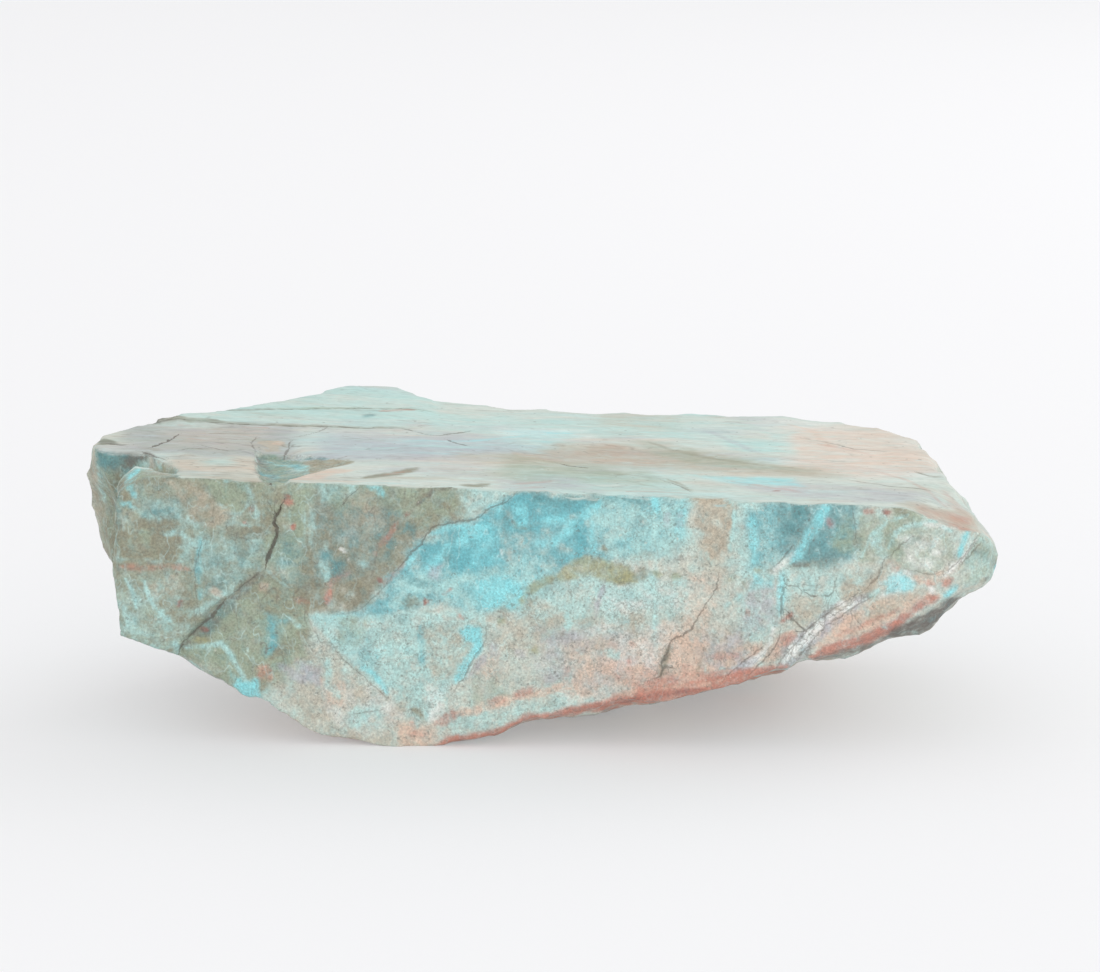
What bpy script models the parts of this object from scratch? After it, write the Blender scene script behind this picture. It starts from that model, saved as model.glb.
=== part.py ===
# Turquoise specimen: one broken slab of host rock stained and veined by turquoise.
# The slab has a smooth natural top, a flat front face, rough broken ends and back,
# and an underside that rises from a small flat base to both ends.
# It is one solid, because the stone is one piece.
# Outlines and planes are in millimetres in the frame of the slab as it was measured,
# with +X along the front face, +Y to the back and +Z up from the table.
# The finished stone is then moved so that its box's bottom centre is the origin.

import math

import bmesh
import bpy
from mathutils import Matrix, Vector

MM = 0.001
FAR = 150.0

# The slab seen from above, from the front left corner round by the right end.
PLAN_OUTLINE = [
    (-91.8, -46.4), (-60.0, -47.5), (-26.0, -49.0), (10.0, -50.5), (36.0, -51.3),
    (60.0, -53.0), (84.0, -55.0), (95.0, -54.5), (100.0, -52.0), (102.5, -46.0),
    (101.5, -30.0), (98.0, -8.0), (94.5, 12.0), (83.5, 25.5), (71.5, 35.5),
    (63.5, 39.5), (37.0, 39.0), (-4.0, 37.5), (-11.0, 39.0), (-18.5, 43.5),
    (-30.5, 47.5), (-33.5, 50.5), (-40.0, 50.0), (-47.0, 46.0), (-57.5, 35.0),
    (-69.0, 24.0), (-79.5, 16.0), (-91.5, 8.5), (-97.0, 0.0), (-103.0, -8.5),
    (-101.0, -22.5), (-92.0, -25.0),
]
BLOCK_HEIGHT = 70.0
BACK_LEAN = 0.10  # how far the back wall runs out for each millimetre down

# The lower edge of the front face, from the left end up round the right tip.
UNDERSIDE_EDGE = [
    (-92.5, 24.6), (-90.0, 23.5), (-84.5, 20.8), (-76.0, 18.8), (-70.8, 16.0),
    (-64.0, 11.2), (-61.0, 9.6), (-53.2, 3.8), (-47.5, 2.2), (-42.5, 1.2),
    (-35.0, 0.4), (-20.0, -0.6), (-12.8, 1.3), (-0.7, 5.8), (5.0, 7.2),
    (9.1, 7.6), (29.0, 11.2), (49.0, 16.3), (56.5, 17.5), (58.6, 20.5),
    (61.6, 20.6), (72.8, 23.2), (76.3, 25.3), (85.2, 28.1), (93.3, 35.1),
    (99.3, 39.4), (102.0, 43.7), (103.5, 50.5),
]
FRONT_FACE_Y = -50.0
FRONT_FACE_TURN = 0.045  # how far the front face comes forward for each millimetre to the right
UNDERCUT_SLOPE = 0.24  # how fast the underside drops from that edge to the back

# The strip that leads from the front face to the underside: its height along X, its slope.
EDGE_BREAK = [(-50.0, 0.0), (0.0, 1.3), (60.0, 1.5), (80.0, 3.2), (92.0, 3.0), (110.0, 0.5)]
EDGE_BREAK_SLOPE = 1.3

# Natural fracture planes: a point on each, and the direction that it faces.
FRACTURES = {
    "right_shoulder": ((80, -54.5, 55.9), (0.34, -0.12, 0.93)),
    "right_bevel": ((94, -20, 52.3), (0.75, 0.03, 0.66)),
    "right_wall": ((98.6, -48, 51.3), (0.88, 0.08, 0.46)),
    "left_end": ((-100.4, -8.5, 61.5), (-0.983, 0.0, 0.18)),
    "left_end_below": ((-102.4, -10, 36), (-0.74, 0.12, -0.67)),
    "corner_chip": ((-90.5, -44, 59), (-0.75, -0.35, 0.55)),
    "left_end_foot": ((-98.5, -10, 33.4), (-0.42, 0.20, -0.885)),
    "underside_left": ((-34, -45, -3.6), (-0.40, 0.12, -0.90)),
    "underside_right": ((58, 0, 0), (0.62, 0.05, -0.78)),
    "underside_back": ((0, 44, 22), (0.05, 0.80, -0.60)),
    "underside_back_left": ((-70, 30, 27), (-0.45, 0.55, -0.70)),
    "back_right": ((82.8, 27.5, 45), (0.70, 0.70, 0.14)),
    "back_left_low": ((-60, 42, 40), (-0.60, 0.70, -0.38)),
}

# Shallow shell-shaped breaks at the back, ends and underside: centre and radius of each.
SCOOPS = [
    ((20, 92, 26), 54), ((62, 66, 6), 40), ((-62, 70, 20), 34), ((-12, 80, 8), 44),
    ((-114, 36, 6), 48), ((112, 2, -4), 46), ((-112, -20, -4), 40), ((-30, 62, -32), 50),
    ((122, -22, 30), 27), ((44, 30, -46), 52), ((-78, 0, -34), 48), ((-93, 53, 36), 33),
]

# The pocket behind the front left corner, seen from above, and its sloping floor.
POCKET_OUTLINE = [
    (-115.0, -22.0), (-89.0, -22.5), (-86.0, -27.5), (-82.5, -33.0), (-79.0, -41.0),
    (-82.0, -41.5), (-87.0, -35.0), (-92.0, -36.0), (-115.0, -37.0),
]
POCKET_FLOOR = ((-92, -28, 31), (0.86, 0.0, -0.51))

# The grey broken face left of the pocket, cut only behind the corner, within an outline.
LEFT_FACE_OUTLINE = [(-130.0, -30.0), (-70.0, -30.0), (-70.0, 14.0), (-130.0, 14.0)]
LEFT_FACE = ((-98.5, -21.5, 61.7), (-0.82, -0.52, -0.24))

# The top of the front layer, and of the thin layer that lies on it at the back left.
TOP_FACE = ((0, 0, 58.4), (0.031, 0, 1))
BACK_LAYER_FACE = ((0, 8, 57.6), (0.0595, -0.05, 1))
LAYER_EDGE = [
    (-33.0, 60.0), (-30.0, 47.0), (-24.5, 38.0), (-27.0, 28.0), (-21.0, 17.0), (-28.0, 9.5),
    (-41.0, 8.9), (-55.0, 8.0), (-71.0, 8.9), (-91.0, 8.3), (-110.0, 8.3),
]

# The shallow pit in the top: deepest at its left edge, and rising to the right.
PIT_OUTLINE = [
    (-63.7, -15.0), (-55.5, -7.1), (-53.4, -16.0), (-41.0, -25.5), (-45.0, -31.0),
    (-56.0, -45.5), (-59.3, -45.4), (-61.1, -36.3),
]
PIT_DEPTH, PIT_RISE = 1.8, 0.07

# Ledges on the front face: top and bottom of each in X and Z, how deep it gets at its
# bottom, and how far to the right of it the face is back at its own level.
LEDGES = {
    "slanting_ledge": ([(-52.0, 45.0), (-59.3, 39.8), (-67.5, 33.4), (-73.3, 27.5), (-88.0, 12.0)], 3.2, 21.0),
    "right_crack_ledge": ([(42.0, 45.0), (36.7, 31.1), (35.4, 27.3), (29.5, 24.4), (26.0, 10.0)], 1.4, 14.0),
}

# Surface relief, in millimetres: how large the lumps are, and how high they stand.
EVEN_VOXEL = 1.1
SWELL_SIZE, SWELL_HEIGHT = 38.0, 1.6
LUMP_SIZE, LUMP_HEIGHT = 8.0, 2.0
CHIP_SIZE, CHIP_DEPTH = 15.0, 2.4
CALM_SHARE = 0.16  # the share of the relief that the top and front faces keep
TRIANGLES = 8200


def clear_scene():
    for old in list(bpy.data.objects):
        bpy.data.objects.remove(old, do_unlink=True)


def new_collection(name):
    collection = bpy.data.collections.new(name)
    bpy.context.scene.collection.children.link(collection)
    return collection


def stone_material():
    # Matt blue-green rock with a dry surface.
    material = bpy.data.materials.new("turquoise_rock")
    material.use_nodes = True
    shader = material.node_tree.nodes["Principled BSDF"]
    shader.inputs["Base Color"].default_value = (0.30, 0.50, 0.46, 1.0)
    shader.inputs["Roughness"].default_value = 0.75
    shader.inputs["Metallic"].default_value = 0.0
    return material


def outline_solid(name, outline, low, high, collection, upright=False):
    """A flat outline drawn as a filled curve and extruded, as a mesh in metres.

    It lies in XY and runs in Z from low to high or, when upright, in XZ and runs in Y.
    """
    curve = bpy.data.curves.new(name, "CURVE")
    curve.dimensions = "2D"
    curve.fill_mode = "BOTH"
    curve.extrude = (high - low) / 2 * MM
    spline = curve.splines.new("POLY")
    spline.points.add(len(outline) - 1)
    for point, (across, up) in zip(spline.points, outline):
        point.co = (across * MM, up * MM, 0.0, 1.0)
    spline.use_cyclic_u = True
    drawn = bpy.data.objects.new(name + "_outline", curve)
    collection.objects.link(drawn)
    middle = (low + high) / 2 * MM
    if upright:
        drawn.matrix_world = Matrix.Translation((0, middle, 0)) @ Matrix.Rotation(math.pi / 2, 4, "X")
    else:
        drawn.matrix_world = Matrix.Translation((0, 0, middle))
    bpy.context.view_layer.update()
    graph = bpy.context.evaluated_depsgraph_get()
    mesh = bpy.data.meshes.new_from_object(drawn.evaluated_get(graph))
    mesh.transform(drawn.matrix_world)
    bpy.data.objects.remove(drawn, do_unlink=True)
    weld(mesh)
    solid = bpy.data.objects.new(name, mesh)
    collection.objects.link(solid)
    return solid


def weld(mesh):
    bm = bmesh.new()
    bm.from_mesh(mesh)
    bmesh.ops.remove_doubles(bm, verts=bm.verts, dist=0.00001)
    bmesh.ops.recalc_face_normals(bm, faces=bm.faces)
    bm.to_mesh(mesh)
    bm.free()


def break_along(solid, point, facing):
    """Takes off what lies beyond a fracture plane, and closes the stone there."""
    bm = bmesh.new()
    bm.from_mesh(solid.data)
    cut = bmesh.ops.bisect_plane(
        bm,
        geom=bm.verts[:] + bm.edges[:] + bm.faces[:],
        dist=0.000001,
        plane_co=Vector(point) * MM,
        plane_no=Vector(facing).normalized(),
        clear_outer=True,
    )
    rim = [piece for piece in cut["geom_cut"] if isinstance(piece, bmesh.types.BMEdge)]
    if rim:
        bmesh.ops.holes_fill(bm, edges=rim, sides=0)
    bmesh.ops.recalc_face_normals(bm, faces=bm.faces)
    bm.to_mesh(solid.data)
    bm.free()


def as_cutter(solid):
    solid.hide_render = True
    solid.display_type = "WIRE"
    return solid


def subtract(solid, cutter):
    modifier = solid.modifiers.new(cutter.name, "BOOLEAN")
    modifier.operation = "DIFFERENCE"
    modifier.solver = "EXACT"
    modifier.object = as_cutter(cutter)


def rough_block(collection):
    """The slab's plan drawn up into a block, its back wall leaning out, then broken to shape."""
    block = outline_solid("turquoise_stone", PLAN_OUTLINE, -5.0, BLOCK_HEIGHT, collection)
    for vertex in block.data.vertices:
        if vertex.co.y > 0:
            vertex.co.y += BACK_LEAN * (60.0 * MM - vertex.co.z)
    for point, facing in FRACTURES.values():
        break_along(block, point, facing)
    return block


def height_at(across, profile):
    """The height of a profile of (across, height) points, between its points too."""
    for (left, low), (right, high) in zip(profile, profile[1:]):
        if left <= across <= right:
            return low + (high - low) * (across - left) / (right - left)
    return profile[0][1] if across < profile[0][0] else profile[-1][1]


def underside_cutter(name, break_profile, slope, collection):
    """All that lies below the front face's lower edge, dropping away to the back."""
    edge = [(across, up + height_at(across, break_profile)) for across, up in UNDERSIDE_EDGE]
    below = [(FAR, 52.0), (FAR, -FAR), (-FAR, -FAR), (-FAR, 24.6)]
    cutter = outline_solid(name, edge + below, -FAR, FAR, collection, upright=True)
    for vertex in cutter.data.vertices:
        face_y = FRONT_FACE_Y * MM - FRONT_FACE_TURN * vertex.co.x
        vertex.co.z -= slope * (vertex.co.y - face_y)
    return cutter


def pocket_cutter(collection):
    cutter = outline_solid("corner_pocket", POCKET_OUTLINE, 20.0, 90.0, collection)
    break_along(cutter, *POCKET_FLOOR)
    return cutter


def face_cutter(name, outline, low, face, collection):
    """All that lies beyond one face of the slab, within an outline seen from above."""
    cutter = outline_solid(name, outline, low, 90.0, collection)
    point, facing = face
    break_along(cutter, point, [-part for part in facing])
    return cutter


def pit_cutter(collection):
    """The pit's outline sunk a little into the top face, less so to the right."""
    point, facing = TOP_FACE
    cutter = outline_solid("top_pit", PIT_OUTLINE, 20.0, 90.0, collection)
    left = PIT_OUTLINE[0][0]
    sunk = point[2] - facing[0] * left - PIT_DEPTH
    break_along(cutter, (left, 0.0, sunk), (PIT_RISE - facing[0], 0.0, -1.0))
    return cutter


def ledge_cutter(name, line, depth, run, collection):
    """A wedge off the front face, deepest at the foot of the ledge's line."""
    top, foot = Vector(line[0]), Vector(line[-1])
    along = (foot - top).normalized()
    aside = Vector((-along.y, along.x))
    outline = line + [tuple(foot + aside * run), tuple(top + aside * run)]
    cutter = outline_solid(name, outline, -90.0, 0.0, collection, upright=True)
    lean = aside * (depth / run) - along * (depth / (foot - top).length)
    face_y = FRONT_FACE_Y - FRONT_FACE_TURN * top.x
    break_along(cutter, (top.x, face_y, top.y), (FRONT_FACE_TURN + lean.x, 1.0, lean.y))
    return cutter


def scoop_cutter(index, centre, radius, collection):
    bm = bmesh.new()
    bmesh.ops.create_icosphere(bm, subdivisions=3, radius=radius * MM)
    bmesh.ops.translate(bm, verts=bm.verts, vec=Vector(centre) * MM)
    mesh = bpy.data.meshes.new("scoop_%02d" % index)
    bm.to_mesh(mesh)
    bm.free()
    scoop = bpy.data.objects.new(mesh.name, mesh)
    collection.objects.link(scoop)
    return scoop


def evaluated_mesh(solid):
    bpy.context.view_layer.update()
    graph = bpy.context.evaluated_depsgraph_get()
    return bpy.data.meshes.new_from_object(solid.evaluated_get(graph))


def settle_mesh(solid):
    """Replaces the solid's mesh by what its modifiers make of it, and drops them."""
    mesh = evaluated_mesh(solid)
    solid.modifiers.clear()
    solid.data = mesh


def even_mesh(solid):
    """Small even faces all over, which also break the sharp edges a little."""
    remesh = solid.modifiers.new("even", "REMESH")
    remesh.mode = "VOXEL"
    remesh.voxel_size = EVEN_VOXEL * MM
    settle_mesh(solid)


def mark_rough_faces(solid):
    """A vertex group: full weight on broken faces, little on the smooth top and flat front."""
    group = solid.vertex_groups.new(name="rough")
    for vertex in solid.data.vertices:
        calm = max(vertex.normal.z, -vertex.normal.y, 0.0)
        share = min(1.0, max(0.0, (calm - 0.80) / 0.16))
        group.add([vertex.index], 1.0 - share * (1.0 - CALM_SHARE), "REPLACE")
    return group


def add_relief(solid, name, kind, size, height, group):
    texture = bpy.data.textures.new(name, kind)
    texture.noise_scale = size * MM
    if kind == "CLOUDS":
        texture.noise_depth = 3
    displace = solid.modifiers.new(name, "DISPLACE")
    displace.texture = texture
    displace.texture_coords = "LOCAL"
    displace.strength = height * MM
    displace.mid_level = 0.5
    displace.vertex_group = group.name


def thin_mesh(solid):
    decimate = solid.modifiers.new("fewer faces", "DECIMATE")
    decimate.ratio = TRIANGLES / (2 * len(solid.data.polygons))


def flat_base(solid, collection):
    """Cuts the stone off level at the table, so that it rests on a true flat."""
    bm = bmesh.new()
    bmesh.ops.create_cube(bm, size=2 * FAR * MM)
    mesh = bpy.data.meshes.new("table_level")
    bm.to_mesh(mesh)
    bm.free()
    table = bpy.data.objects.new("table_level", mesh)
    table.location.z = -FAR * MM
    collection.objects.link(table)
    subtract(solid, table)


def stand_on_origin(solid):
    """Moves the stone so that the origin is under the middle of its box."""
    settle_mesh(solid)
    corners = [Vector(corner) for corner in solid.bound_box]
    low = Vector([min(corner[axis] for corner in corners) for axis in range(3)])
    high = Vector([max(corner[axis] for corner in corners) for axis in range(3)])
    middle = (low + high) / 2
    solid.data.transform(Matrix.Translation((-middle.x, -middle.y, -low.z)))
    print("moved by", [round(-value / MM, 2) for value in (middle.x, middle.y, low.z)])
    print("size", [round(value / MM, 1) for value in high - low])


def main():
    clear_scene()
    stone_parts = new_collection("turquoise_specimen")
    cutters = new_collection("cutters")
    stone = rough_block(stone_parts)
    everywhere = [(-FAR, -FAR), (FAR, -FAR), (FAR, FAR), (-33.0, FAR)] + LAYER_EDGE + [(-FAR, 8.3)]
    back_left = [(-FAR, 7.5), (-20.0, 7.5), (-20.0, FAR), (-FAR, FAR)]
    subtract(stone, face_cutter("above_the_top", everywhere, 40.0, TOP_FACE, cutters))
    subtract(stone, face_cutter("above_the_back_layer", back_left, 40.0, BACK_LAYER_FACE, cutters))
    subtract(stone, face_cutter("beyond_the_left_face", LEFT_FACE_OUTLINE, 12.0, LEFT_FACE, cutters))
    subtract(stone, underside_cutter("below_the_stone", [(0.0, 0.0)], UNDERCUT_SLOPE, cutters))
    subtract(stone, underside_cutter("below_the_edge", EDGE_BREAK, EDGE_BREAK_SLOPE, cutters))
    subtract(stone, pocket_cutter(cutters))
    subtract(stone, pit_cutter(cutters))
    for name, (line, depth, run) in LEDGES.items():
        subtract(stone, ledge_cutter(name, line, depth, run, cutters))
    for index, (centre, radius) in enumerate(SCOOPS):
        subtract(stone, scoop_cutter(index, centre, radius, cutters))
    settle_mesh(stone)
    even_mesh(stone)
    group = mark_rough_faces(stone)
    add_relief(stone, "swells", "CLOUDS", SWELL_SIZE, SWELL_HEIGHT, group)
    add_relief(stone, "lumps", "CLOUDS", LUMP_SIZE, LUMP_HEIGHT, group)
    add_relief(stone, "chips", "VORONOI", CHIP_SIZE, CHIP_DEPTH, group)
    thin_mesh(stone)
    flat_base(stone, cutters)
    stand_on_origin(stone)
    stone.data.materials.clear()
    stone.data.materials.append(stone_material())


main()
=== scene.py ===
import itertools
import math

import bmesh
import bpy
import numpy as np
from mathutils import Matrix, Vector


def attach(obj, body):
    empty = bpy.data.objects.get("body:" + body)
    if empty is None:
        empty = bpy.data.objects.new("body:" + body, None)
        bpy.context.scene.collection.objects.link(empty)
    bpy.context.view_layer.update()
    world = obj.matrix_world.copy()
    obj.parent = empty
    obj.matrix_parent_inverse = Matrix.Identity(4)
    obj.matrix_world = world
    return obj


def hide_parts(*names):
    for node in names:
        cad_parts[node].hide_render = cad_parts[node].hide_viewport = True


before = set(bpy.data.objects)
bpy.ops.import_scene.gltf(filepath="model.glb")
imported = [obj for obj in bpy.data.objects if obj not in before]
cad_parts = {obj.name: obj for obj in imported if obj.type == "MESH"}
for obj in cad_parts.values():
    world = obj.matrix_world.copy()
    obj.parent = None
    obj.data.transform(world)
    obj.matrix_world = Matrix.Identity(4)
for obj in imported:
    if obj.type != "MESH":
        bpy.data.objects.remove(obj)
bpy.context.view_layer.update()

mm = 0.001
# The slab was measured in millimetres in a frame of its own, which lies this far from the part's:
# X runs along the front face, Y to the broken back, Z up from the table.
slabShift = np.array([0.27, 0.77, 0.0])
frontTurn, frontAt = 0.045, -50.0      # the front face is the plane where frontTurn * X + Y is frontAt
topFall = 0.031                        # how far the top falls in each millimetre to the right


def smoothStep(low, high, value):
    # 0 below low, 1 above high, and t*t*(3 - 2t) between
    part = np.clip((value - low) / (high - low), 0, 1)
    return part * part * (3 - 2 * part)


def cornerValue(corner, seed):
    # a fixed value from 0 to 1 for each corner of a lattice: its three whole numbers and the seed, each
    # times a large odd number, are added, and their 32 bits are stirred by shifts and products
    mixed = ((corner * (374761393, 668265263, 1442695041)).sum(axis=1) + seed * 1274126177) & 0xFFFFFFFF
    mixed = ((mixed ^ (mixed >> 13)) * 1274126177) & 0xFFFFFFFF
    mixed = ((mixed ^ (mixed >> 15)) * 2246822519) & 0xFFFFFFFF
    return ((mixed ^ (mixed >> 16)) & 0xFFFFFF) / 0xFFFFFF


def grainNoise(points, size, seed):
    # lattice corners this far apart hold fixed values, and a point blends its eight corners: -1 to 1
    cell = points / size + 7.31 * seed
    low = np.floor(cell).astype(np.int64)
    part = smoothStep(0, 1, cell - low)
    total = np.zeros(len(points))
    for corner in itertools.product((0, 1), repeat=3):
        share = np.prod(np.where(corner, part, 1 - part), axis=1)
        total += share * cornerValue(low + corner, seed)
    return 2 * total - 1


def layeredNoise(points, layers, seed):
    # the sum of several noises, each with its size and height; the seed picks the pattern
    return sum(height * grainNoise(points, size, seed + 11 * n) for n, (size, height) in enumerate(layers))


def scoopNoise(points, size, seed):
    # squared distance to the nearest of the points scattered one to a cell: hollows between ridges,
    # doubled and lowered so that it lies about evenly round 0
    cell = points / size
    low = np.floor(cell).astype(np.int64)
    nearest = np.full(len(points), 9.0)
    for step in itertools.product((-1, 0, 1), repeat=3):
        corner = low + step
        middle = corner + np.stack([cornerValue(corner, seed + n) for n in (0, 1, 2)], axis=1)
        nearest = np.minimum(nearest, ((cell - middle) ** 2).sum(axis=1))
    return np.clip(nearest, 0, 1) * 2 - 0.9


def pathDistance(flat, path):
    # distance to a line through the points of path, its sign by the side, and the share of the way along
    path = np.array(path, float)
    if len(path) == 1:
        return np.hypot(*(flat - path[0]).T), np.full(len(flat), 0.5)
    best = np.full(len(flat), 1e9)
    signed, along = best.copy(), best.copy()
    lengths = np.hypot(*np.diff(path, axis=0).T)
    done = 0.0
    for start, end, length in zip(path[:-1], path[1:], lengths):
        way = (end - start) / length
        offset = flat - start
        part = np.clip(offset @ way, 0, length)
        away = np.hypot(*(offset - part[:, None] * way).T)
        side = np.where(way[0] * offset[:, 1] - way[1] * offset[:, 0] < 0, -1, 1)
        closer = away < best
        best[closer] = away[closer]
        signed[closer] = (away * side)[closer]
        along[closer] = ((done + part) / lengths.sum())[closer]
        done += length
    return signed, along


def outlineDepth(flat, outline):
    # distance to the nearest side of a closed outline, positive inside and negative outside: a point is
    # inside when a level line from it to the right crosses the outline an odd number of times
    outline = np.array(outline, float)
    best = np.full(len(flat), 1e9)
    inside = np.zeros(len(flat), bool)
    for start, end in zip(outline, np.roll(outline, -1, axis=0)):
        way = end - start
        offset = flat - start
        part = np.clip(offset @ way / max(way @ way, 1e-9), 0, 1)
        best = np.minimum(best, np.hypot(*(offset - part[:, None] * way).T))
        crosses = (start[1] > flat[:, 1]) != (end[1] > flat[:, 1])
        rise = way[1] if way[1] else 1e-9
        inside ^= crosses & (flat[:, 0] < start[0] + way[0] * (flat[:, 1] - start[1]) / rise)
    return np.where(inside, best, -best)


def behindFront(points):
    # how far each point lies behind the plane of the front face, along Y
    return points[:, 1] - frontAt + frontTurn * points[:, 0]


def levelHeight(points):
    # height of each point with the fall of the top taken out
    return points[:, 2] + topFall * points[:, 0]


photoView = {
    "aimAt": (3.4, -1.5, 48.4),     # mm, in the slab's frame
    "distance": 850.0,              # mm
    "elevation": 13.0,              # degrees
    "lens": 120.17,                 # mm
    "sensor": 36.0,                 # mm across
}


def cameraPlace():
    # the aimed point plus the distance along the direction back to the camera, in mm
    tilt = math.radians(photoView["elevation"])
    back = np.array([0.0, -math.cos(tilt), math.sin(tilt)])
    return np.array(photoView["aimAt"]) + photoView["distance"] * back


def seenAt(points):
    # X and Z where the straight line from the photo's place through each point meets the front's plane
    eye = cameraPlace()
    ways = points - eye
    reach = (frontAt - frontTurn * eye[0] - eye[1]) / (frontTurn * ways[:, 0] + ways[:, 1])
    return (eye + reach[:, None] * ways)[:, [0, 2]]


def readMesh(mesh):
    # points in millimetres in the slab's frame, directions that they face, and pairs of neighbours
    points, facing = np.empty(len(mesh.vertices) * 3), np.empty(len(mesh.vertices) * 3)
    pairs = np.empty(len(mesh.edges) * 2, np.int64)
    mesh.vertices.foreach_get("co", points)
    mesh.vertex_normals.foreach_get("vector", facing)
    mesh.edges.foreach_get("vertices", pairs)
    return points.reshape(-1, 3) / mm - slabShift, facing.reshape(-1, 3), pairs.reshape(-1, 2)


def writePoints(mesh, points):
    # the points, moved back to the part's frame and turned to metres
    mesh.vertices.foreach_set("co", ((points + slabShift) * mm).ravel())
    mesh.update()


def neighbourMean(values, pairs):
    # each point takes the mean of the points that it shares an edge with
    count = np.bincount(pairs.ravel(), minlength=len(values))
    total = [np.bincount(pairs[:, 0], column[pairs[:, 1]], len(values))
             + np.bincount(pairs[:, 1], column[pairs[:, 0]], len(values)) for column in values.T]
    return np.stack(total, axis=1) / count[:, None]


def applyModifiers(piece):
    # the mesh that the modifiers make takes the place of the old one
    graph = bpy.context.evaluated_depsgraph_get()
    mesh = bpy.data.meshes.new_from_object(piece.evaluated_get(graph))
    piece.modifiers.clear()
    old, piece.data = piece.data, mesh
    bpy.data.meshes.remove(old)


slab = {
    "voxel": 0.56,                   # mm between the points of the even mesh
    "edgeRounds": 6,                 # rounds over which the directions around a point are compared
    "edgeMean": (0.99, 0.955),       # length of their mean on a smooth face, and at a crisp edge
    "facetRounds": 60,               # how often a point moves towards the middle of its neighbours
    "facetPull": 0.6,                # and how far of the way
    "blendRounds": 3,                # how far the relief of one face runs into that of the next
    "scoops": ((9.0, 0.75), (4.2, 0.32)),                        # size and height of the breaks, mm
    "lumps": ((15.0, 0.50), (5.0, 0.28), (2.2, 0.16), (1.1, 0.09)),
    "roughFrom": (0.3, 4.0),         # height above the table over which the breaks set in
    "frontSwells": ((13.0, 0.20), (4.0, 0.10), (1.4, 0.07)),
    "topSwells": ((22.0, 0.30), (7.0, 0.14), (2.4, 0.05)),
    "topDrawnOut": 0.35,             # the swells of the top are drawn out along X by the inverse of this
    "hollow": ((20.0, -12.0), (34.0, 11.0), 1.1),                # middle, reach and depth
    "worn": ((-78, -92), (-30, -38), (56.8, 62)),                # X, Y and Z over which the corner wears away
    "wornShift": (4.2, 0.4, -0.7),                               # at the upper left corner of the front block
    "chip": 0.9,                     # depth at its left end
    "chipRunsOut": (-40, -60),       # X over which the chip gets its depth
    "grooveUneven": (1.6, 0.75, 0.4),        # mm between its wider places, mean width, and how far it varies
    "grooveEnds": (0.12, 0.85),      # shares of its length where a groove has opened, and begins to close
    "grooveWall": (0.35, 0.25),      # mm outside and inside its edge over which it falls to its depth
    "thinnedTo": 0.42,               # share of the triangles that are left
    "topWeight": 0.45,               # how readily the top and the other sides are thinned
    "sideWeight": 0.70,
}


def evenShell():
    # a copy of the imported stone, merged, and covered with small even faces
    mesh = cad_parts["turquoise_stone"].data.copy()
    shell = bmesh.new()
    shell.from_mesh(mesh)
    bmesh.ops.remove_doubles(shell, verts=shell.verts, dist=1e-6)
    shell.to_mesh(mesh)
    shell.free()
    mesh.materials.clear()
    piece = bpy.data.objects.new("rough_turquoise_slab", mesh)
    bpy.context.scene.collection.objects.link(piece)
    remesh = piece.modifiers.new("even points", "REMESH")
    remesh.mode = "VOXEL"
    remesh.voxel_size = slab["voxel"] * mm
    applyModifiers(piece)
    print("even shell:", len(piece.data.vertices), "points")
    return piece


def smoothFacets(piece):
    # each point moves again and again towards the mean of its neighbours, less the nearer it is to an
    # edge between faces, where the mean of the directions around a point is short
    points, around, pairs = readMesh(piece.data)
    for _ in range(slab["edgeRounds"]):
        around = neighbourMean(around, pairs)
    crisp = smoothStep(*slab["edgeMean"], np.linalg.norm(around, axis=1))
    pull = slab["facetPull"] * (1 - crisp)[:, None]
    for _ in range(slab["facetRounds"]):
        points = points + pull * (neighbourMean(points, pairs) - points)
    writePoints(piece.data, points)


def faceShares(points, facing):
    # how far a point belongs to the flat front and to the smooth top, 0 to 1: by the direction that it
    # faces, times its distance to the front's plane or its height
    front = smoothStep(0.70, 0.93, -facing[:, 1]) * smoothStep(5.5, 3.0, np.abs(behindFront(points)))
    top = smoothStep(0.80, 0.95, facing[:, 2]) * smoothStep(48, 53, levelHeight(points))
    return front, top


def cracksNear(points, front, top, reach, leastFace):
    # each crack in turn: its width and depth, the points of its face within reach of the box around it,
    # their share of the face, their signed distance to it and how far along it they are
    for flat, face, cracks in ((seenAt(points), front, frontCracks), (points[:, :2], top, topCracks)):
        flat = flat + painting["crackBend"] * bending(flat)
        for width, depth, path in cracks:
            low, high = np.min(path, axis=0) - reach, np.max(path, axis=0) + reach
            near = np.nonzero(((flat > low) & (flat < high)).all(axis=1) & (face > leastFace))[0]
            yield (width, depth, near, face[near], *pathDistance(flat[near], path))


def grooveDepth(points, front, top):
    # open cracks: a groove of the given width and depth along each path, a little uneven in width,
    # that narrows to nothing at both ends
    spacing, mean, spread = slab["grooveUneven"]
    opened, closing = slab["grooveEnds"]
    outside, within = slab["grooveWall"]
    uneven = mean + spread * grainNoise(points, spacing, 91)
    total = np.zeros(len(points))
    for width, depth, near, face, away, along in cracksNear(points, front, top, 4, 0.02):
        half = 0.5 * width * uneven[near] * smoothStep(0, opened, along) * smoothStep(1, closing, along)
        inGroove = smoothStep(half + outside, half - within, np.abs(away)) * (half > 0.02)
        total[near] = np.maximum(total[near], depth * inGroove * face)
    return total


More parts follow.
